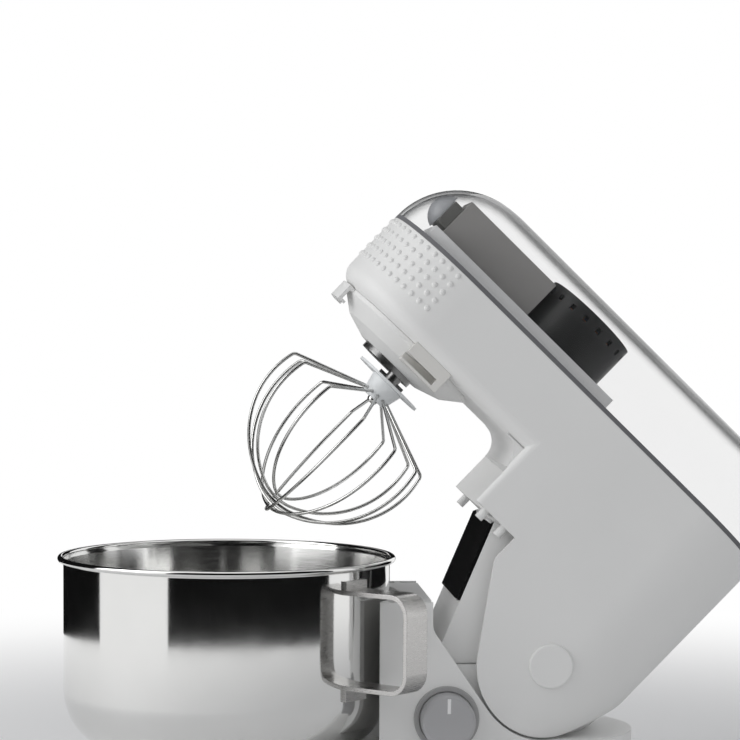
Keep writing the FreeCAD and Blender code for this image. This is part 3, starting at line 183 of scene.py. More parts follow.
class StudioSettings(bpy.types.PropertyGroup):
    """Camera and light of the studio."""
    azimuth: FloatProperty(
        name="Azimuth", description="How far the camera stands towards the front of a side view",
        default=math.radians(4.24), subtype="ANGLE")
    elevation: FloatProperty(
        name="Elevation", description="Height of the camera above a level view",
        default=math.radians(3.88), subtype="ANGLE")
    distance: FloatProperty(
        name="Distance", description="Distance from the camera to its target",
        default=1.65, unit="LENGTH")
    roll: FloatProperty(
        name="Roll", description="Turn of the camera about its own axis",
        default=math.radians(0.39), subtype="ANGLE")
    focal_pixels: FloatProperty(
        name="Focal length in pixels", description="Focal length for a picture 740 pixels wide",
        default=2389.0)
    centre_x: FloatProperty(
        name="Centre across", description="Pixel column of the optical axis", default=379.7)
    centre_y: FloatProperty(
        name="Centre down", description="Pixel row of the optical axis", default=479.1)
    key_power: FloatProperty(
        name="Key light", description="Power of the large light above the front",
        default=17.0, unit="POWER")
    fill_power: FloatProperty(
        name="Fill light", description="Power of the light at the camera's side",
        default=1.5, unit="POWER")
    world_light: FloatProperty(
        name="Surround", description="Strength of the light from all round", default=0.47)


def socket(node, name):
    """The one input of that name that the node's settings leave in use."""
    return next(s for s in node.inputs if s.name == name and s.enabled)


def new_finish(name):
    """New material with one Principled shader, as (material, nodes, links, shader)."""
    material = bpy.data.materials.new(name)
    material.use_nodes = True
    nodes = material.node_tree.nodes
    return material, nodes, material.node_tree.links, nodes["Principled BSDF"]


def object_noise(nodes, links, scale, detail=3.0, stretch=(1.0, 1.0, 1.0)):
    """Noise on Object coordinates; scale is in features per metre."""
    coords = nodes.new("ShaderNodeTexCoord")
    mapping = nodes.new("ShaderNodeMapping")
    mapping.inputs["Scale"].default_value = stretch
    noise = nodes.new("ShaderNodeTexNoise")
    noise.inputs["Scale"].default_value = scale
    noise.inputs["Detail"].default_value = detail
    links.new(coords.outputs["Object"], mapping.inputs["Vector"])
    links.new(mapping.outputs["Vector"], noise.inputs["Vector"])
    return noise.outputs["Fac"]


def varied(nodes, links, factor, low, high):
    """Spread a noise factor over a range of numbers."""
    spread = nodes.new("ShaderNodeMapRange")
    spread.inputs["From Min"].default_value, spread.inputs["From Max"].default_value = NOISE_SPAN
    spread.inputs["To Min"].default_value = low
    spread.inputs["To Max"].default_value = high
    links.new(factor, spread.inputs["Value"])
    return spread.outputs["Result"]


def mottled(nodes, links, shader, factor, colour, depth):
    """Base colour that wanders a little darker than the given one."""
    mix = nodes.new("ShaderNodeMix")
    mix.data_type = "RGBA"
    socket(mix, "A").default_value = (*(c * (1.0 - depth) for c in colour), 1.0)
    socket(mix, "B").default_value = (*colour, 1.0)
    links.new(factor, socket(mix, "Factor"))
    links.new(next(o for o in mix.outputs if o.enabled), shader.inputs["Base Color"])


def relief(nodes, links, shader, factor, height, edge):
    """Bump from the factor, over edges that are softened by the given radius."""
    bump = nodes.new("ShaderNodeBump")
    bump.inputs["Strength"].default_value = 1.0
    bump.inputs["Distance"].default_value = height
    links.new(factor, bump.inputs["Height"])
    if edge > 0.0:
        bevel = nodes.new("ShaderNodeBevel")
        bevel.samples = 4
        bevel.inputs["Radius"].default_value = edge
        links.new(bevel.outputs["Normal"], bump.inputs["Normal"])
    links.new(bump.outputs["Normal"], shader.inputs["Normal"])


def wandering_roughness(nodes, links, shader, factor, low, high):
    """Roughness that follows a noise factor between two values."""
    links.new(varied(nodes, links, factor, low, high), shader.inputs["Roughness"])


def moulded_plastic(name, colour, roughness, grain=PLASTIC_GRAIN):
    """Moulded plastic with a fine spark-eroded grain and faint flow marks."""
    material, nodes, links, shader = new_finish(name)
    flow = object_noise(nodes, links, scale=14.0, detail=4.0)
    fine = object_noise(nodes, links, scale=grain, detail=2.0)
    mottled(nodes, links, shader, flow, colour, depth=0.05)
    wandering_roughness(nodes, links, shader, flow, roughness - PLASTIC_SPREAD, roughness + PLASTIC_SPREAD)
    relief(nodes, links, shader, fine, height=0.00002, edge=0.0008)
    shader.inputs["Specular IOR Level"].default_value = 0.45
    return material


def polished_metal(name, colour, roughness, smear):
    """Polished metal with faint cloudy wipe marks, which are rougher by the smear."""
    material, nodes, links, shader = new_finish(name)
    cloud = object_noise(nodes, links, scale=40.0, detail=5.0)
    shader.inputs["Metallic"].default_value = 1.0
    mottled(nodes, links, shader, cloud, colour, depth=0.06)
    wandering_roughness(nodes, links, shader, cloud, roughness, roughness + smear)
    relief(nodes, links, shader, cloud, height=0.00002, edge=0.0)
    return material


def brushed_metal(name, colour, roughness, lines):
    """Metal with fine lines, given as their number per metre along X, Y and Z."""
    material, nodes, links, shader = new_finish(name)
    brush = object_noise(nodes, links, scale=1.0, stretch=lines)
    shader.inputs["Metallic"].default_value = 1.0
    mottled(nodes, links, shader, brush, colour, depth=0.14)
    wandering_roughness(nodes, links, shader, brush, roughness - 0.06, roughness + 0.08)
    relief(nodes, links, shader, brush, height=0.000012, edge=0.0005)
    return material


def satin_sheet(name, colour, roughness):
    """Sheet steel turned on a lathe: fine rings about the Z axis, which draw reflections out upright."""
    material, nodes, links, shader = new_finish(name)
    rings = object_noise(nodes, links, scale=1.0, stretch=(60.0, 60.0, 1600.0))
    shader.inputs["Metallic"].default_value = 1.0
    shader.inputs["Anisotropic"].default_value = SATIN_DRAW
    shader.inputs["Anisotropic Rotation"].default_value = QUARTER_TURN
    around = nodes.new("ShaderNodeTangent")
    around.direction_type = "RADIAL"
    around.axis = "Z"
    links.new(around.outputs["Tangent"], shader.inputs["Tangent"])
    mottled(nodes, links, shader, rings, colour, depth=0.08)
    wandering_roughness(nodes, links, shader, rings, roughness - 0.03, roughness + 0.03)
    return material


def clear_plastic(name, colour):
    """Thin clear plastic: see-through from the front, grey and dense where it is seen edge-on."""
    material, nodes, links, shader = new_finish(name)
    fine = object_noise(nodes, links, scale=60.0, detail=2.0)
    facing = nodes.new("ShaderNodeLayerWeight")
    spread = nodes.new("ShaderNodeMapRange")
    spread.interpolation_type = "SMOOTHSTEP"
    spread.inputs["From Min"].default_value = COVER_SQUARE
    spread.inputs["To Min"].default_value, spread.inputs["To Max"].default_value = COVER_ALPHA
    links.new(facing.outputs["Facing"], spread.inputs["Value"])
    links.new(spread.outputs["Result"], shader.inputs["Alpha"])
    mottled(nodes, links, shader, fine, colour, depth=0.04)
    wandering_roughness(nodes, links, shader, fine, low=0.03, high=0.07)
    shader.inputs["IOR"].default_value = COVER_IOR
    return material


def rubber(name, colour):
    """Dull rubber with a dusty bloom."""
    material, nodes, links, shader = new_finish(name)
    dust = object_noise(nodes, links, scale=500.0, detail=4.0)
    mottled(nodes, links, shader, dust, colour, depth=0.3)
    wandering_roughness(nodes, links, shader, dust, low=0.65, high=0.85)
    relief(nodes, links, shader, dust, height=0.00004, edge=0.0006)
    return material


def laminated_iron(name, colour):
    """Stack of iron sheets: level stripes across the stack's height."""
    material, nodes, links, shader = new_finish(name)
    coords = nodes.new("ShaderNodeTexCoord")
    mapping = nodes.new("ShaderNodeMapping")
    mapping.inputs["Rotation"].default_value = (HEAD_TILT, 0.0, 0.0)
    wave = nodes.new("ShaderNodeTexWave")
    wave.bands_direction = "Z"
    wave.inputs["Scale"].default_value = SHEETS_SCALE
    links.new(coords.outputs["Object"], mapping.inputs["Vector"])
    links.new(mapping.outputs["Vector"], wave.inputs["Vector"])
    stripes = wave.outputs["Fac"]
    shader.inputs["Metallic"].default_value = 1.0
    mottled(nodes, links, shader, stripes, colour, depth=0.35)
    wandering_roughness(nodes, links, shader, stripes, low=0.4, high=0.6)
    relief(nodes, links, shader, stripes, height=0.0001, edge=0.0)
    return material


def wound_copper(name, colour):
    """Enamelled wire laid side by side along the coil."""
    material, nodes, links, shader = new_finish(name)
    lines = object_noise(nodes, links, scale=1.0, detail=2.0, stretch=(1500.0, 1500.0, 60.0))
    shader.inputs["Metallic"].default_value = 1.0
    shader.inputs["Coat Weight"].default_value = 0.4
    mottled(nodes, links, shader, lines, colour, depth=0.4)
    wandering_roughness(nodes, links, shader, lines, low=0.25, high=0.45)
    relief(nodes, links, shader, lines, height=0.0002, edge=0.0)
    return material


def tint(slot, shade=1.0):
    """Colour of a slot, made lighter or darker by a factor."""
    return tuple(min(1.0, shade * c) for c in getattr(bpy.context.scene.mixer_colours, slot))


def paint(slot, material):
    """Give a finish to every part of the frame that takes its look from this slot."""
    for node, node_slot in SLOT_OF.items():
        if node_slot == slot:
            mesh = frame["nodes"][node].data
            mesh.materials.clear()
            mesh.materials.append(material)


def add_piece(name, mesh, body, slot, *replaced):
    """Put a finished mesh into the scene as a piece that moves with a body."""
    piece = bpy.data.objects.new(name, mesh)
    bpy.context.scene.collection.objects.link(piece)
    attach(piece, body)
    if replaced:
        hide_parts(*replaced)
    return piece


def grown_mesh(source, tree, values, name):
    """Run a node tree on an object and return the result as a plain mesh."""
    bpy.context.scene.collection.objects.link(source)
    modifier = source.modifiers.new(name, "NODES")
    modifier.node_group = tree
    for item in tree.interface.items_tree:
        if item.item_type == "SOCKET" and item.in_out == "INPUT" and item.name in values:
            modifier[item.identifier] = values[item.name]
    graph = bpy.context.evaluated_depsgraph_get()
    mesh = bpy.data.meshes.new_from_object(source.evaluated_get(graph), depsgraph=graph)
    source.modifiers.remove(modifier)
    bpy.data.objects.remove(source)
    mesh.name = name
    return mesh


class TreeMaker:
    """Short-hand for building one Geometry Nodes tree."""

    def __init__(self, name, inputs):
        self.tree = bpy.data.node_groups.new(name, "GeometryNodeTree")
        self.tree.interface.new_socket("Geometry", in_out="INPUT", socket_type="NodeSocketGeometry")
        for label, kind in inputs:
            self.tree.interface.new_socket(label, in_out="INPUT", socket_type="NodeSocket" + kind)
        self.tree.interface.new_socket("Geometry", in_out="OUTPUT", socket_type="NodeSocketGeometry")
        self.entry = self.node("NodeGroupInput")
        self.exit = self.node("NodeGroupOutput")

    def node(self, kind, **settings):
        """Add a node and set its own settings."""
        node = self.tree.nodes.new(kind)
        for key, value in settings.items():
            setattr(node, key, value)
        return node

    def link(self, output, target):
        """Join an output to an input."""
        self.tree.links.new(output, target)

    def wire(self, node, index, value):
        """Feed an input with another node's output, or with a plain value."""
        if isinstance(value, bpy.types.NodeSocket):
            self.link(value, node.inputs[index])
        else:
            node.inputs[index].default_value = value

    def math(self, operation, a, b=0.0):
        """Output of a Math node."""
        node = self.node("ShaderNodeMath", operation=operation)
        self.wire(node, 0, a)
        self.wire(node, 1, b)
        return node.outputs[0]

    def vector(self, x, y, z):
        """Output of a node that joins three numbers into a vector."""
        node = self.node("ShaderNodeCombineXYZ")
        for index, value in enumerate((x, y, z)):
            self.wire(node, index, value)
        return node.outputs[0]

    def finish(self, geometry, material):
        """Close the tree: realize, shade smooth, set the material."""
        real = self.node("GeometryNodeRealizeInstances")
        self.link(geometry, real.inputs[0])
        smooth = self.node("GeometryNodeSetShadeSmooth")
        self.link(real.outputs[0], smooth.inputs[0])
        paint_node = self.node("GeometryNodeSetMaterial")
        self.link(smooth.outputs[0], paint_node.inputs[0])
        self.wire(paint_node, "Material", material)
        self.link(paint_node.outputs[0], self.exit.inputs[0])
        return self.tree


def arc(centre, radius, start, end, steps=ARC_STEPS):
    """Points along an arc, as pairs: (across, up) in an outline, (x, y) on the floor."""
    angles = [start + (end - start) * i / steps for i in range(steps + 1)]
    return [(centre[0] + radius * math.cos(a), centre[1] + radius * math.sin(a)) for a in angles]


def whisk_half():
    """One half of the lowest loop, from its root at the hub to the middle of its tip."""
    tip_z = WIRE_TIP_Z + TIP_BEND
    side = (WIDEST_R ** 2 + (WIDEST_Z - tip_z) ** 2 - TIP_BEND ** 2) / (2 * (WIDEST_R - TIP_BEND))
    side_x = WIDEST_R - side
    meet = math.atan2(tip_z - WIDEST_Z, -side_x)
    bend_z = SHOULDER_Z - SHOULDER_BEND
    bulge = math.asin((bend_z - WIDEST_Z) / (side - SHOULDER_BEND))
    bend_x = side_x + (side - SHOULDER_BEND) * math.cos(bulge)
    slope = math.atan2(SHOULDER_Z - WHISK_ROOT_Z, bend_x - WHISK_ROOT_R)
    shoulder = arc((bend_x, bend_z), SHOULDER_BEND, slope + math.pi / 2, bulge)
    top = shoulder[0]
    root = (WHISK_ROOT_R, top[1] - (top[0] - WHISK_ROOT_R) * math.tan(slope))
    long_side = arc((side_x, WIDEST_Z), side, bulge, meet)[1:]
    tip = arc((0.0, tip_z), TIP_BEND, meet, -math.pi / 2)[1:]
    return [root] + shoulder + long_side + tip


def whisk_tree(material):
    """Loops of wire turned about the whisk's axis, each stepped above the last."""
    make = TreeMaker("whisk_loops", [("Loops", "Int"), ("Wire radius", "Float"), ("Step", "Float"),
                                     ("Shoulder", "Float"), ("Fall", "Float")])
    ports = make.entry.outputs
    line = make.node("GeometryNodeMeshLine")
    make.link(ports["Loops"], line.inputs["Count"])
    make.wire(line, "Offset", (0.0, 0.0, 0.0))
    index = make.node("GeometryNodeInputIndex").outputs[0]
    turn = make.math("DIVIDE", make.math("MULTIPLY", index, math.pi), ports["Loops"])
    spread = make.node("GeometryNodeInstanceOnPoints")
    make.link(line.outputs[0], spread.inputs["Points"])
    make.link(ports["Geometry"], spread.inputs["Instance"])
    make.link(make.vector(0.0, 0.0, turn), spread.inputs["Rotation"])
    store = make.node("GeometryNodeStoreNamedAttribute", data_type="FLOAT", domain="INSTANCE")
    make.link(spread.outputs[0], store.inputs["Geometry"])
    make.wire(store, "Name", "loop")
    make.link(index, socket(store, "Value"))
    real = make.node("GeometryNodeRealizeInstances")
    make.link(store.outputs[0], real.inputs[0])
    number = make.node("GeometryNodeInputNamedAttribute", data_type="FLOAT")
    make.wire(number, "Name", "loop")
    height = make.node("ShaderNodeSeparateXYZ")
    make.link(make.node("GeometryNodeInputPosition").outputs[0], height.inputs[0])
    depth = make.math("DIVIDE", make.math("SUBTRACT", ports["Shoulder"], height.outputs[2]), ports["Fall"])
    depth = make.math("MAXIMUM", depth, 0.0)
    lift = make.math("MULTIPLY", make.math("MULTIPLY", number.outputs[0], ports["Step"]), depth)
    move = make.node("GeometryNodeSetPosition")
    make.link(real.outputs[0], move.inputs["Geometry"])
    make.link(make.vector(0.0, 0.0, lift), move.inputs["Offset"])
    section = make.node("GeometryNodeCurvePrimitiveCircle")
    make.wire(section, "Resolution", WIRE_SIDES)
    make.link(ports["Wire radius"], section.inputs["Radius"])
    sweep = make.node("GeometryNodeCurveToMesh")
    make.link(move.outputs[0], sweep.inputs["Curve"])
    make.link(section.outputs[0], sweep.inputs["Profile Curve"])
    make.wire(sweep, "Fill Caps", True)
    return make.finish(sweep.outputs[0], material)


def nub_tree(material):
    """Flat domes in a square grid, bent round the nose."""
    make = TreeMaker("nose_nubs", [("Columns", "Int"), ("Rows", "Int"), ("Pitch", "Float"),
                                   ("Nub radius", "Float"), ("Nose radius", "Float"), ("Low", "Float")])
    ports = make.entry.outputs

    def span(count):
        return make.math("MULTIPLY", make.math("SUBTRACT", count, 1.0), ports["Pitch"])

    def round_nose(turn, radius, up):
        across = make.math("MULTIPLY", make.math("SINE", turn), radius)
        ahead = make.math("MULTIPLY", make.math("COSINE", turn), radius)
        return make.vector(across, make.math("MULTIPLY", ahead, -1.0), up)

    grid = make.node("GeometryNodeMeshGrid")
    make.link(span(ports["Columns"]), grid.inputs["Size X"])
    make.link(span(ports["Rows"]), grid.inputs["Size Y"])
    make.link(ports["Columns"], grid.inputs["Vertices X"])
    make.link(ports["Rows"], grid.inputs["Vertices Y"])
    place = make.node("ShaderNodeSeparateXYZ")
    make.link(make.node("GeometryNodeInputPosition").outputs[0], place.inputs[0])
    turn = make.math("DIVIDE", place.outputs["X"], ports["Nose radius"])
    store = make.node("GeometryNodeStoreNamedAttribute", data_type="FLOAT", domain="POINT")
    make.link(grid.outputs[0], store.inputs["Geometry"])
    make.wire(store, "Name", "turn")
    make.link(turn, socket(store, "Value"))
    up = make.math("ADD", place.outputs["Y"], make.math("DIVIDE", span(ports["Rows"]), 2.0))
    up = make.math("ADD", up, ports["Low"])
    bend = make.node("GeometryNodeSetPosition")
    make.link(store.outputs[0], bend.inputs["Geometry"])
    make.link(round_nose(turn, ports["Nose radius"], up), bend.inputs["Position"])
    ball = make.node("GeometryNodeMeshUVSphere")
    make.wire(ball, "Segments", NUB_SEGMENTS)
    make.wire(ball, "Rings", NUB_RINGS)
    make.link(ports["Nub radius"], ball.inputs["Radius"])
    flat = make.node("GeometryNodeTransform")
    make.link(ball.outputs[0], flat.inputs["Geometry"])
    make.wire(flat, "Scale", (1.0, 1.0, NUB_FLAT))
    kept = make.node("GeometryNodeInputNamedAttribute", data_type="FLOAT")
    make.wire(kept, "Name", "turn")
    aim = make.node("FunctionNodeAlignRotationToVector", axis="Z")
    make.link(round_nose(kept.outputs[0], 1.0, 0.0), aim.inputs["Vector"])
    spread = make.node("GeometryNodeInstanceOnPoints")
    make.link(bend.outputs[0], spread.inputs["Points"])
    make.link(flat.outputs[0], spread.inputs["Instance"])
    make.link(aim.outputs[0], spread.inputs["Rotation"])
    return make.finish(spread.outputs[0], material)


def bowl_profile(wall, rim_wall):
    """Outline of the bowl's sheet, up the outside, round the rolled rim and down the inside."""
    corner = (BOWL_WALL_R - BOWL_CORNER, BOWL_BOTTOM + BOWL_CORNER)
    bead = (BOWL_RIM_R - BEAD_R, BOWL_RIM_Z - BEAD_R)
    outside = [(0.0, BOWL_BOTTOM), (corner[0] / 2, BOWL_BOTTOM)]
    outside += arc(corner, BOWL_CORNER, -math.pi / 2, 0.0)
    turn = bead[1] - FLARE
    outside += [(BOWL_WALL_R, turn - CREASE), (BOWL_WALL_R, turn)]
    outside += [(BOWL_WALL_R + CREASE / 4, turn + CREASE)]
    rim = arc(bead, BEAD_R, *BEAD_ENDS, BEAD_STEPS)
    inner_r, mouth_r = BOWL_WALL_R - wall, BOWL_WALL_R - rim_wall
    lean = (mouth_r - inner_r) / THINNED
    inside = [(mouth_r, turn), (mouth_r - lean * CREASE, turn - CREASE)]
    inside += [(inner_r + lean * CREASE, turn - THINNED + CREASE), (inner_r, turn - THINNED - CREASE)]
    inside += arc(corner, BOWL_CORNER - wall, 0.0, -math.pi / 2)
    inside += [(corner[0] / 2, BOWL_BOTTOM + wall), (0.0, BOWL_BOTTOM + wall)]
    return outside + rim + inside


def bowl_mesh(wall, rim_wall, steps, outer_finish, inner_finish):
    """The outline turned about the bowl's axis, with one finish outside and another inside."""
    mesh = bpy.data.meshes.new("bowl")
    shape = bmesh.new()
    points = [shape.verts.new((r, 0.0, z)) for r, z in bowl_profile(wall, rim_wall)]
    strip = [shape.edges.new(pair) for pair in zip(points, points[1:])]
    bmesh.ops.spin(shape, geom=points + strip, axis=(0, 0, 1), cent=(0, 0, 0),
                   angle=2 * math.pi, steps=steps)
    bmesh.ops.remove_doubles(shape, verts=shape.verts, dist=MERGE_DISTANCE)
    bmesh.ops.recalc_face_normals(shape, faces=shape.faces)
    for face in shape.faces:
        middle = face.calc_center_median()
        outward = Vector((middle.x, middle.y, 0.0))
        facing_in = face.normal.dot(outward) < 0.0 or face.normal.z > LEVEL_FACE
        low_inside = middle.z < BOWL_BOTTOM + BOWL_CORNER and face.normal.z > 0.0
        below_bead = middle.z < BOWL_RIM_Z - BEAD_R
        face.material_index = int(below_bead and (facing_in or low_inside))
        face.smooth = True
    bmesh.ops.translate(shape, verts=shape.verts, vec=BOWL_AXIS)
    shape.to_mesh(mesh)
    shape.free()
    mesh.materials.append(outer_finish)
    mesh.materials.append(inner_finish)
    return mesh


class MIXER_OT_white_mouldings(bpy.types.Operator):
    """Finish the white shells and grow the nubs round the nose"""
    bl_idname = "mixer.white_mouldings"
    bl_label = "White mouldings"

    def execute(self, context):
        sizes = context.scene.mixer_sizes
        shell = moulded_plastic("soft_white_shell", tint("white_shell"), roughness=0.46)
        paint("white_shell", shell)
        paint("white_rail", moulded_plastic("off_white_rail", tint("white_rail"), roughness=0.5))
        paint("white_hub", moulded_plastic("white_hub", tint("white_hub"), roughness=0.4))
        seed = bpy.data.objects.new("nose_nubs_seed", bpy.data.meshes.new("nose_nubs_seed"))
        values = {"Columns": sizes.nub_columns, "Rows": sizes.nub_rows, "Pitch": sizes.nub_pitch,
                  "Nub radius": sizes.nub_radius, "Nose radius": HEAD_R, "Low": NUB_LOW_Z}
        mesh = grown_mesh(seed, nub_tree(shell), values, "nose_nubs")
        mesh.transform(HEAD_PLACE)
        add_piece("nose_nubs", mesh, "head", "white_shell")
        return {"FINISHED"}


class MIXER_OT_clear_cover(bpy.types.Operator):
    """Finish the clear cover and its seal"""
    bl_idname = "mixer.clear_cover"
    bl_label = "Clear cover"

    def execute(self, context):
        paint("clear_plastic", clear_plastic("clear_cover", tint("clear_plastic", COVER_SHADE)))
        paint("dark_seal", rubber("dark_seal", tint("dark_seal")))
        return {"FINISHED"}


class MIXER_OT_drive_parts(bpy.types.Operator):
    """Finish the tray, gearbox, motor and gears under the cover"""
    bl_idname = "mixer.drive_parts"
    bl_label = "Drive parts"

    def execute(self, context):
        # Painted light: the tray's colour is lightened to make up for the shade it lies in under the clear cover.
        tray = tint("tray_grey", TRAY_PAINTED_LIGHT)
        paint("tray_grey", moulded_plastic("tray_grey", tray, roughness=0.5, grain=COARSE_GRAIN))
        for slot, roughness in (("casing_grey", 0.5), ("dark_grey", 0.42), ("cap_grey", 0.35),
                                ("black_plastic", 0.38), ("board_green", 0.4)):
            paint(slot, moulded_plastic(slot, tint(slot), roughness, grain=COARSE_GRAIN))
        paint("laminated_iron", laminated_iron("laminated_iron", tint("laminated_iron")))
        paint("copper", wound_copper("wound_copper", tint("copper")))
        for slot, name, shade, roughness, lines in (
                ("bronze", "sintered_bronze", 1.0, 0.42, (600.0, 600.0, 600.0)),
                ("gear_steel", "gear_steel", 1.0, 0.34, (900.0, 90.0, 90.0)),
                ("machined_steel", "turned_steel", TURNED_SHADE, 0.3, (80.0, 900.0, 900.0)),
                ("zinc_steel", "zinc_steel", 1.0, 0.4, (200.0, 200.0, 900.0))):
            paint(slot, brushed_metal(name, tint(slot, shade), roughness, lines))
        return {"FINISHED"}


class MIXER_OT_stand_fittings(bpy.types.Operator):
    """Finish the mirror plate, the knob, the feet and the other pieces of the stand"""
    bl_idname = "mixer.stand_fittings"
    bl_label = "Stand fittings"

    def execute(self, context):
        mirror = polished_metal("mirror_plate", tint("mirror_plate"), roughness=0.05, smear=0.03)
        paint("mirror_plate", mirror)
        for slot, roughness in (("socket_grey", 0.5), ("knob_grey", 0.42), ("knob_mark", 0.45)):
            paint(slot, moulded_plastic(slot, tint(slot), roughness))
        paint("foot_rubber", rubber("foot_rubber", tint("foot_rubber")))
        return {"FINISHED"}


class MIXER_OT_bowl(bpy.types.Operator):
    """Turn the bowl's sheet with its rolled rim, and finish its foot and handle"""
    bl_idname = "mixer.bowl"
    bl_label = "Bowl"

    def execute(self, context):
        sizes = context.scene.mixer_sizes
        steel = tint("polished_steel")
        polished = polished_metal("polished_bowl", steel, roughness=0.06, smear=0.03)
        satin = satin_sheet("satin_inside", steel, roughness=0.16)
        handle = brushed_metal("brushed_handle", tint("brushed_handle"), roughness=0.28,
                               lines=(90.0, 90.0, 1500.0))
        paint("polished_steel", polished)
        paint("brushed_handle", handle)
        mesh = bowl_mesh(sizes.bowl_wall, sizes.bowl_rim_wall, sizes.bowl_steps, polished, satin)
        add_piece("bowl_sheet", mesh, "bowl", "polished_steel", "bowl")
        return {"FINISHED"}


class MIXER_OT_whisk(bpy.types.Operator):
    """Grow the whisk's wire loops"""
    bl_idname = "mixer.whisk"
    bl_label = "Whisk"

    def execute(self, context):
        sizes = context.scene.mixer_sizes
        wire = polished_metal("drawn_wire", tint("wire_steel"), roughness=0.16, smear=0.08)
        paint("wire_steel", wire)
        half = whisk_half()
        path = half + [(-r, z) for r, z in reversed(half[:-1])]
        curve = bpy.data.curves.new("whisk_path", "CURVE")
        curve.dimensions = "3D"
        spline = curve.splines.new("POLY")
        spline.points.add(len(path) - 1)
        for point, (r, z) in zip(spline.points, path):
            point.co = (r, 0.0, z, 1.0)
        shoulder = SHOULDER_Z - SHOULDER_BEND
        values = {"Loops": sizes.wire_loops, "Wire radius": sizes.wire_radius, "Step": WIRE_STEP,
                  "Shoulder": shoulder, "Fall": shoulder - WIRE_TIP_Z}
        source = bpy.data.objects.new("whisk_path", curve)
        mesh = grown_mesh(source, whisk_tree(wire), values, "whisk_wire_loops")
        mesh.transform(HEAD_PLACE @ Matrix.Translation((WHISK_AXIS.x, WHISK_AXIS.y, 0.0)))
        add_piece("whisk_wire_loops", mesh, "planet", "wire_steel", "whisk_wires")
        return {"FINISHED"}


def seen_plainly(nodes, links):
    """1 for what the camera, metal or clear plastic sees, 0 for light that falls on the object."""
    path = nodes.new("ShaderNodeLightPath")
    total = path.outputs["Is Camera Ray"]
    for name in ("Is Glossy Ray", "Is Transmission Ray"):
        both = nodes.new("ShaderNodeMath")
        both.operation = "MAXIMUM"
        links.new(total, both.inputs[0])
        links.new(path.outputs[name], both.inputs[1])
        total = both.outputs[0]
    return total


def floor_finish():
    """Pale floor that keeps the shadow near the mixer and looks plain white further off."""
    material, nodes, links, shader = new_finish("pale_floor")
    coords = nodes.new("ShaderNodeTexCoord")
    length = nodes.new("ShaderNodeVectorMath")
    length.operation = "LENGTH"
    fade = nodes.new("ShaderNodeMapRange")
    fade.interpolation_type = "SMOOTHSTEP"
    fade.inputs["From Min"].default_value, fade.inputs["From Max"].default_value = FLOOR_FADE
    plain = nodes.new("ShaderNodeEmission")
    plain.inputs["Color"].default_value = PLAIN_WHITE
    plain.inputs["Strength"].default_value = 1.0
    share = nodes.new("ShaderNodeMath")
    share.operation = "MULTIPLY"
    blend = nodes.new("ShaderNodeMixShader")
    shader.inputs["Base Color"].default_value = FLOOR_COLOUR
    shader.inputs["Roughness"].default_value = FLOOR_ROUGHNESS
    links.new(coords.outputs["Object"], length.inputs[0])
    links.new(length.outputs["Value"], fade.inputs["Value"])
    links.new(fade.outputs["Result"], share.inputs[0])
    links.new(seen_plainly(nodes, links), share.inputs[1])
    links.new(share.outputs[0], blend.inputs[0])
    links.new(shader.outputs[0], blend.inputs[1])
    links.new(plain.outputs[0], blend.inputs[2])
    links.new(blend.outputs[0], nodes["Material Output"].inputs["Surface"])
    return material


def white_surround(strength):
    """World that lights evenly and looks plain white to the camera, to metal and to clear plastic."""
    world = bpy.data.worlds.new("studio")
    bpy.context.scene.world = world
    world.use_nodes = True
    nodes, links = world.node_tree.nodes, world.node_tree.links
    light = nodes["Background"]
    light.inputs["Strength"].default_value = strength
    light.inputs["Color"].default_value = SURROUND_TINT
    plain = nodes.new("ShaderNodeBackground")
    plain.inputs["Color"].default_value = PLAIN_WHITE
    blend = nodes.new("ShaderNodeMixShader")
    links.new(seen_plainly(nodes, links), blend.inputs[0])
    links.new(light.outputs[0], blend.inputs[1])
    links.new(plain.outputs[0], blend.inputs[2])
    links.new(blend.outputs[0], nodes["World Output"].inputs["Surface"])


def area_light(name, place, size, power):
    """Soft rectangular light that faces the camera's target."""
    data = bpy.data.lights.new(name, "AREA")
    data.shape = "RECTANGLE"
    data.size, data.size_y = size
    data.energy = power
    lamp = bpy.data.objects.new(name, data)
    lamp.location = place
    lamp.rotation_euler = (TARGET - Vector(place)).to_track_quat("-Z", "Y").to_euler()
    bpy.context.scene.collection.objects.link(lamp)
    return lamp


def dark_card(name, start, end):
    """Curved black card round the bowl's axis, which shows only in what mirrors it.

    Its ends are angles from the mixer's side (+X) towards its rear.
    """
    mesh = bpy.data.meshes.new(name)
    foot = arc((BOWL_AXIS.x, BOWL_AXIS.y), CARD_R, start, end, CARD_STEPS)
    points = [(x, y, z) for x, y in foot for z in (CARD_LOW, CARD_HIGH)]
    faces = [(2 * i, 2 * i + 1, 2 * i + 3, 2 * i + 2) for i in range(CARD_STEPS)]
    mesh.from_pydata(points, [], faces)
    material, _, _, shader = new_finish(name)
    shader.inputs["Base Color"].default_value = CARD_COLOUR
    shader.inputs["Roughness"].default_value = 1.0
    shader.inputs["Specular IOR Level"].default_value = 0.0
    mesh.materials.append(material)
    card = bpy.data.objects.new(name, mesh)
    for ray in ("camera", "diffuse", "shadow", "transmission"):
        setattr(card, "visible_" + ray, False)
    bpy.context.scene.collection.objects.link(card)
    return card


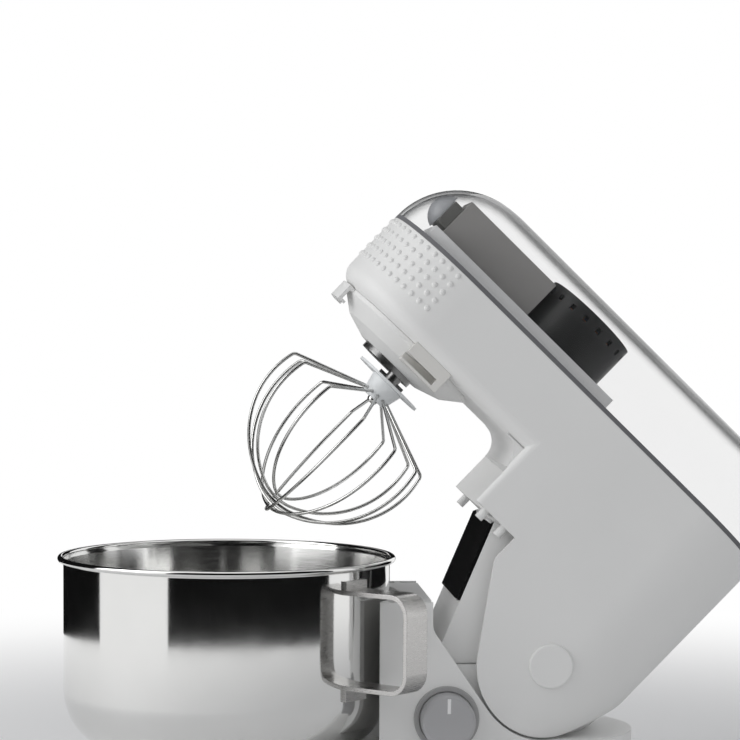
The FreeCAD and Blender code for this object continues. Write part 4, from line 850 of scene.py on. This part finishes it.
class MIXER_OT_studio(bpy.types.Operator):
    """Build the floor, the lights and the camera"""
    bl_idname = "mixer.studio"
    bl_label = "Studio"

    def execute(self, context):
        scene = context.scene
        settings = scene.mixer_studio
        scene.view_settings.view_transform = "Standard"
        mesh = bpy.data.meshes.new("floor")
        corners = [(x * FLOOR_HALF, y * FLOOR_HALF, 0) for x, y in ((-1, -1), (1, -1), (1, 1), (-1, 1))]
        mesh.from_pydata(corners, [], [(0, 1, 2, 3)])
        mesh.materials.append(floor_finish())
        floor = bpy.data.objects.new("floor", mesh)
        scene.collection.objects.link(floor)
        white_surround(settings.world_light)
        key = area_light("key", KEY_PLACE, KEY_SIZE, settings.key_power)
        fill = area_light("fill", FILL_PLACE, FILL_SIZE, settings.fill_power)
        fill.visible_glossy = False
        cards = [dark_card(name, math.radians(start), math.radians(end)) for name, start, end in DARK_CARDS]
        a, e = settings.azimuth, settings.elevation
        toward = Vector((math.cos(e) * math.cos(a), -math.cos(e) * math.sin(a), math.sin(e)))
        lens = bpy.data.cameras.new("camera")
        lens.sensor_width = SENSOR
        lens.lens = settings.focal_pixels * SENSOR / FRAME_PIXELS
        lens.shift_x = (FRAME_PIXELS / 2 - settings.centre_x) / FRAME_PIXELS
        lens.shift_y = (settings.centre_y - FRAME_PIXELS / 2) / FRAME_PIXELS
        camera = bpy.data.objects.new("camera", lens)
        aim = (-toward).to_track_quat("-Z", "Y").to_matrix().to_4x4()
        place = Matrix.Translation(TARGET + toward * settings.distance)
        camera.matrix_world = place @ aim @ Matrix.Rotation(settings.roll, 4, "Z")
        scene.collection.objects.link(camera)
        scene.camera = camera
        return {"FINISHED"}


OPERATORS = (MIXER_OT_white_mouldings, MIXER_OT_clear_cover, MIXER_OT_drive_parts, MIXER_OT_stand_fittings,
             MIXER_OT_bowl, MIXER_OT_whisk, MIXER_OT_studio)


class MIXER_PT_sidebar(bpy.types.Panel):
    """Lists the mixer's operators and settings"""
    bl_idname = "MIXER_PT_sidebar"
    bl_label = "Stand mixer"
    bl_space_type = "VIEW_3D"
    bl_region_type = "UI"
    bl_category = "Mixer"

    def draw(self, context):
        for operator in OPERATORS:
            self.layout.operator(operator.bl_idname)
        for group in (context.scene.mixer_sizes, context.scene.mixer_studio, context.scene.mixer_colours):
            box = self.layout.box()
            for name in group.__annotations__:
                box.prop(group, name)


GROUPS = {"mixer_colours": MixerColours, "mixer_sizes": MixerSizes, "mixer_studio": StudioSettings}
CLASSES = (*GROUPS.values(), *OPERATORS, MIXER_PT_sidebar)


def register():
    for cls in CLASSES:
        bpy.utils.register_class(cls)
    for name, group in GROUPS.items():
        setattr(bpy.types.Scene, name, PointerProperty(type=group))


def unregister():
    for name in GROUPS:
        delattr(bpy.types.Scene, name)
    for cls in reversed(CLASSES):
        bpy.utils.unregister_class(cls)


def main():
    register()
    bpy.ops.mixer.white_mouldings()
    bpy.ops.mixer.clear_cover()
    bpy.ops.mixer.drive_parts()
    bpy.ops.mixer.stand_fittings()
    bpy.ops.mixer.bowl()
    bpy.ops.mixer.whisk()
    bpy.ops.mixer.studio()


if __name__ == "__main__":
    main()
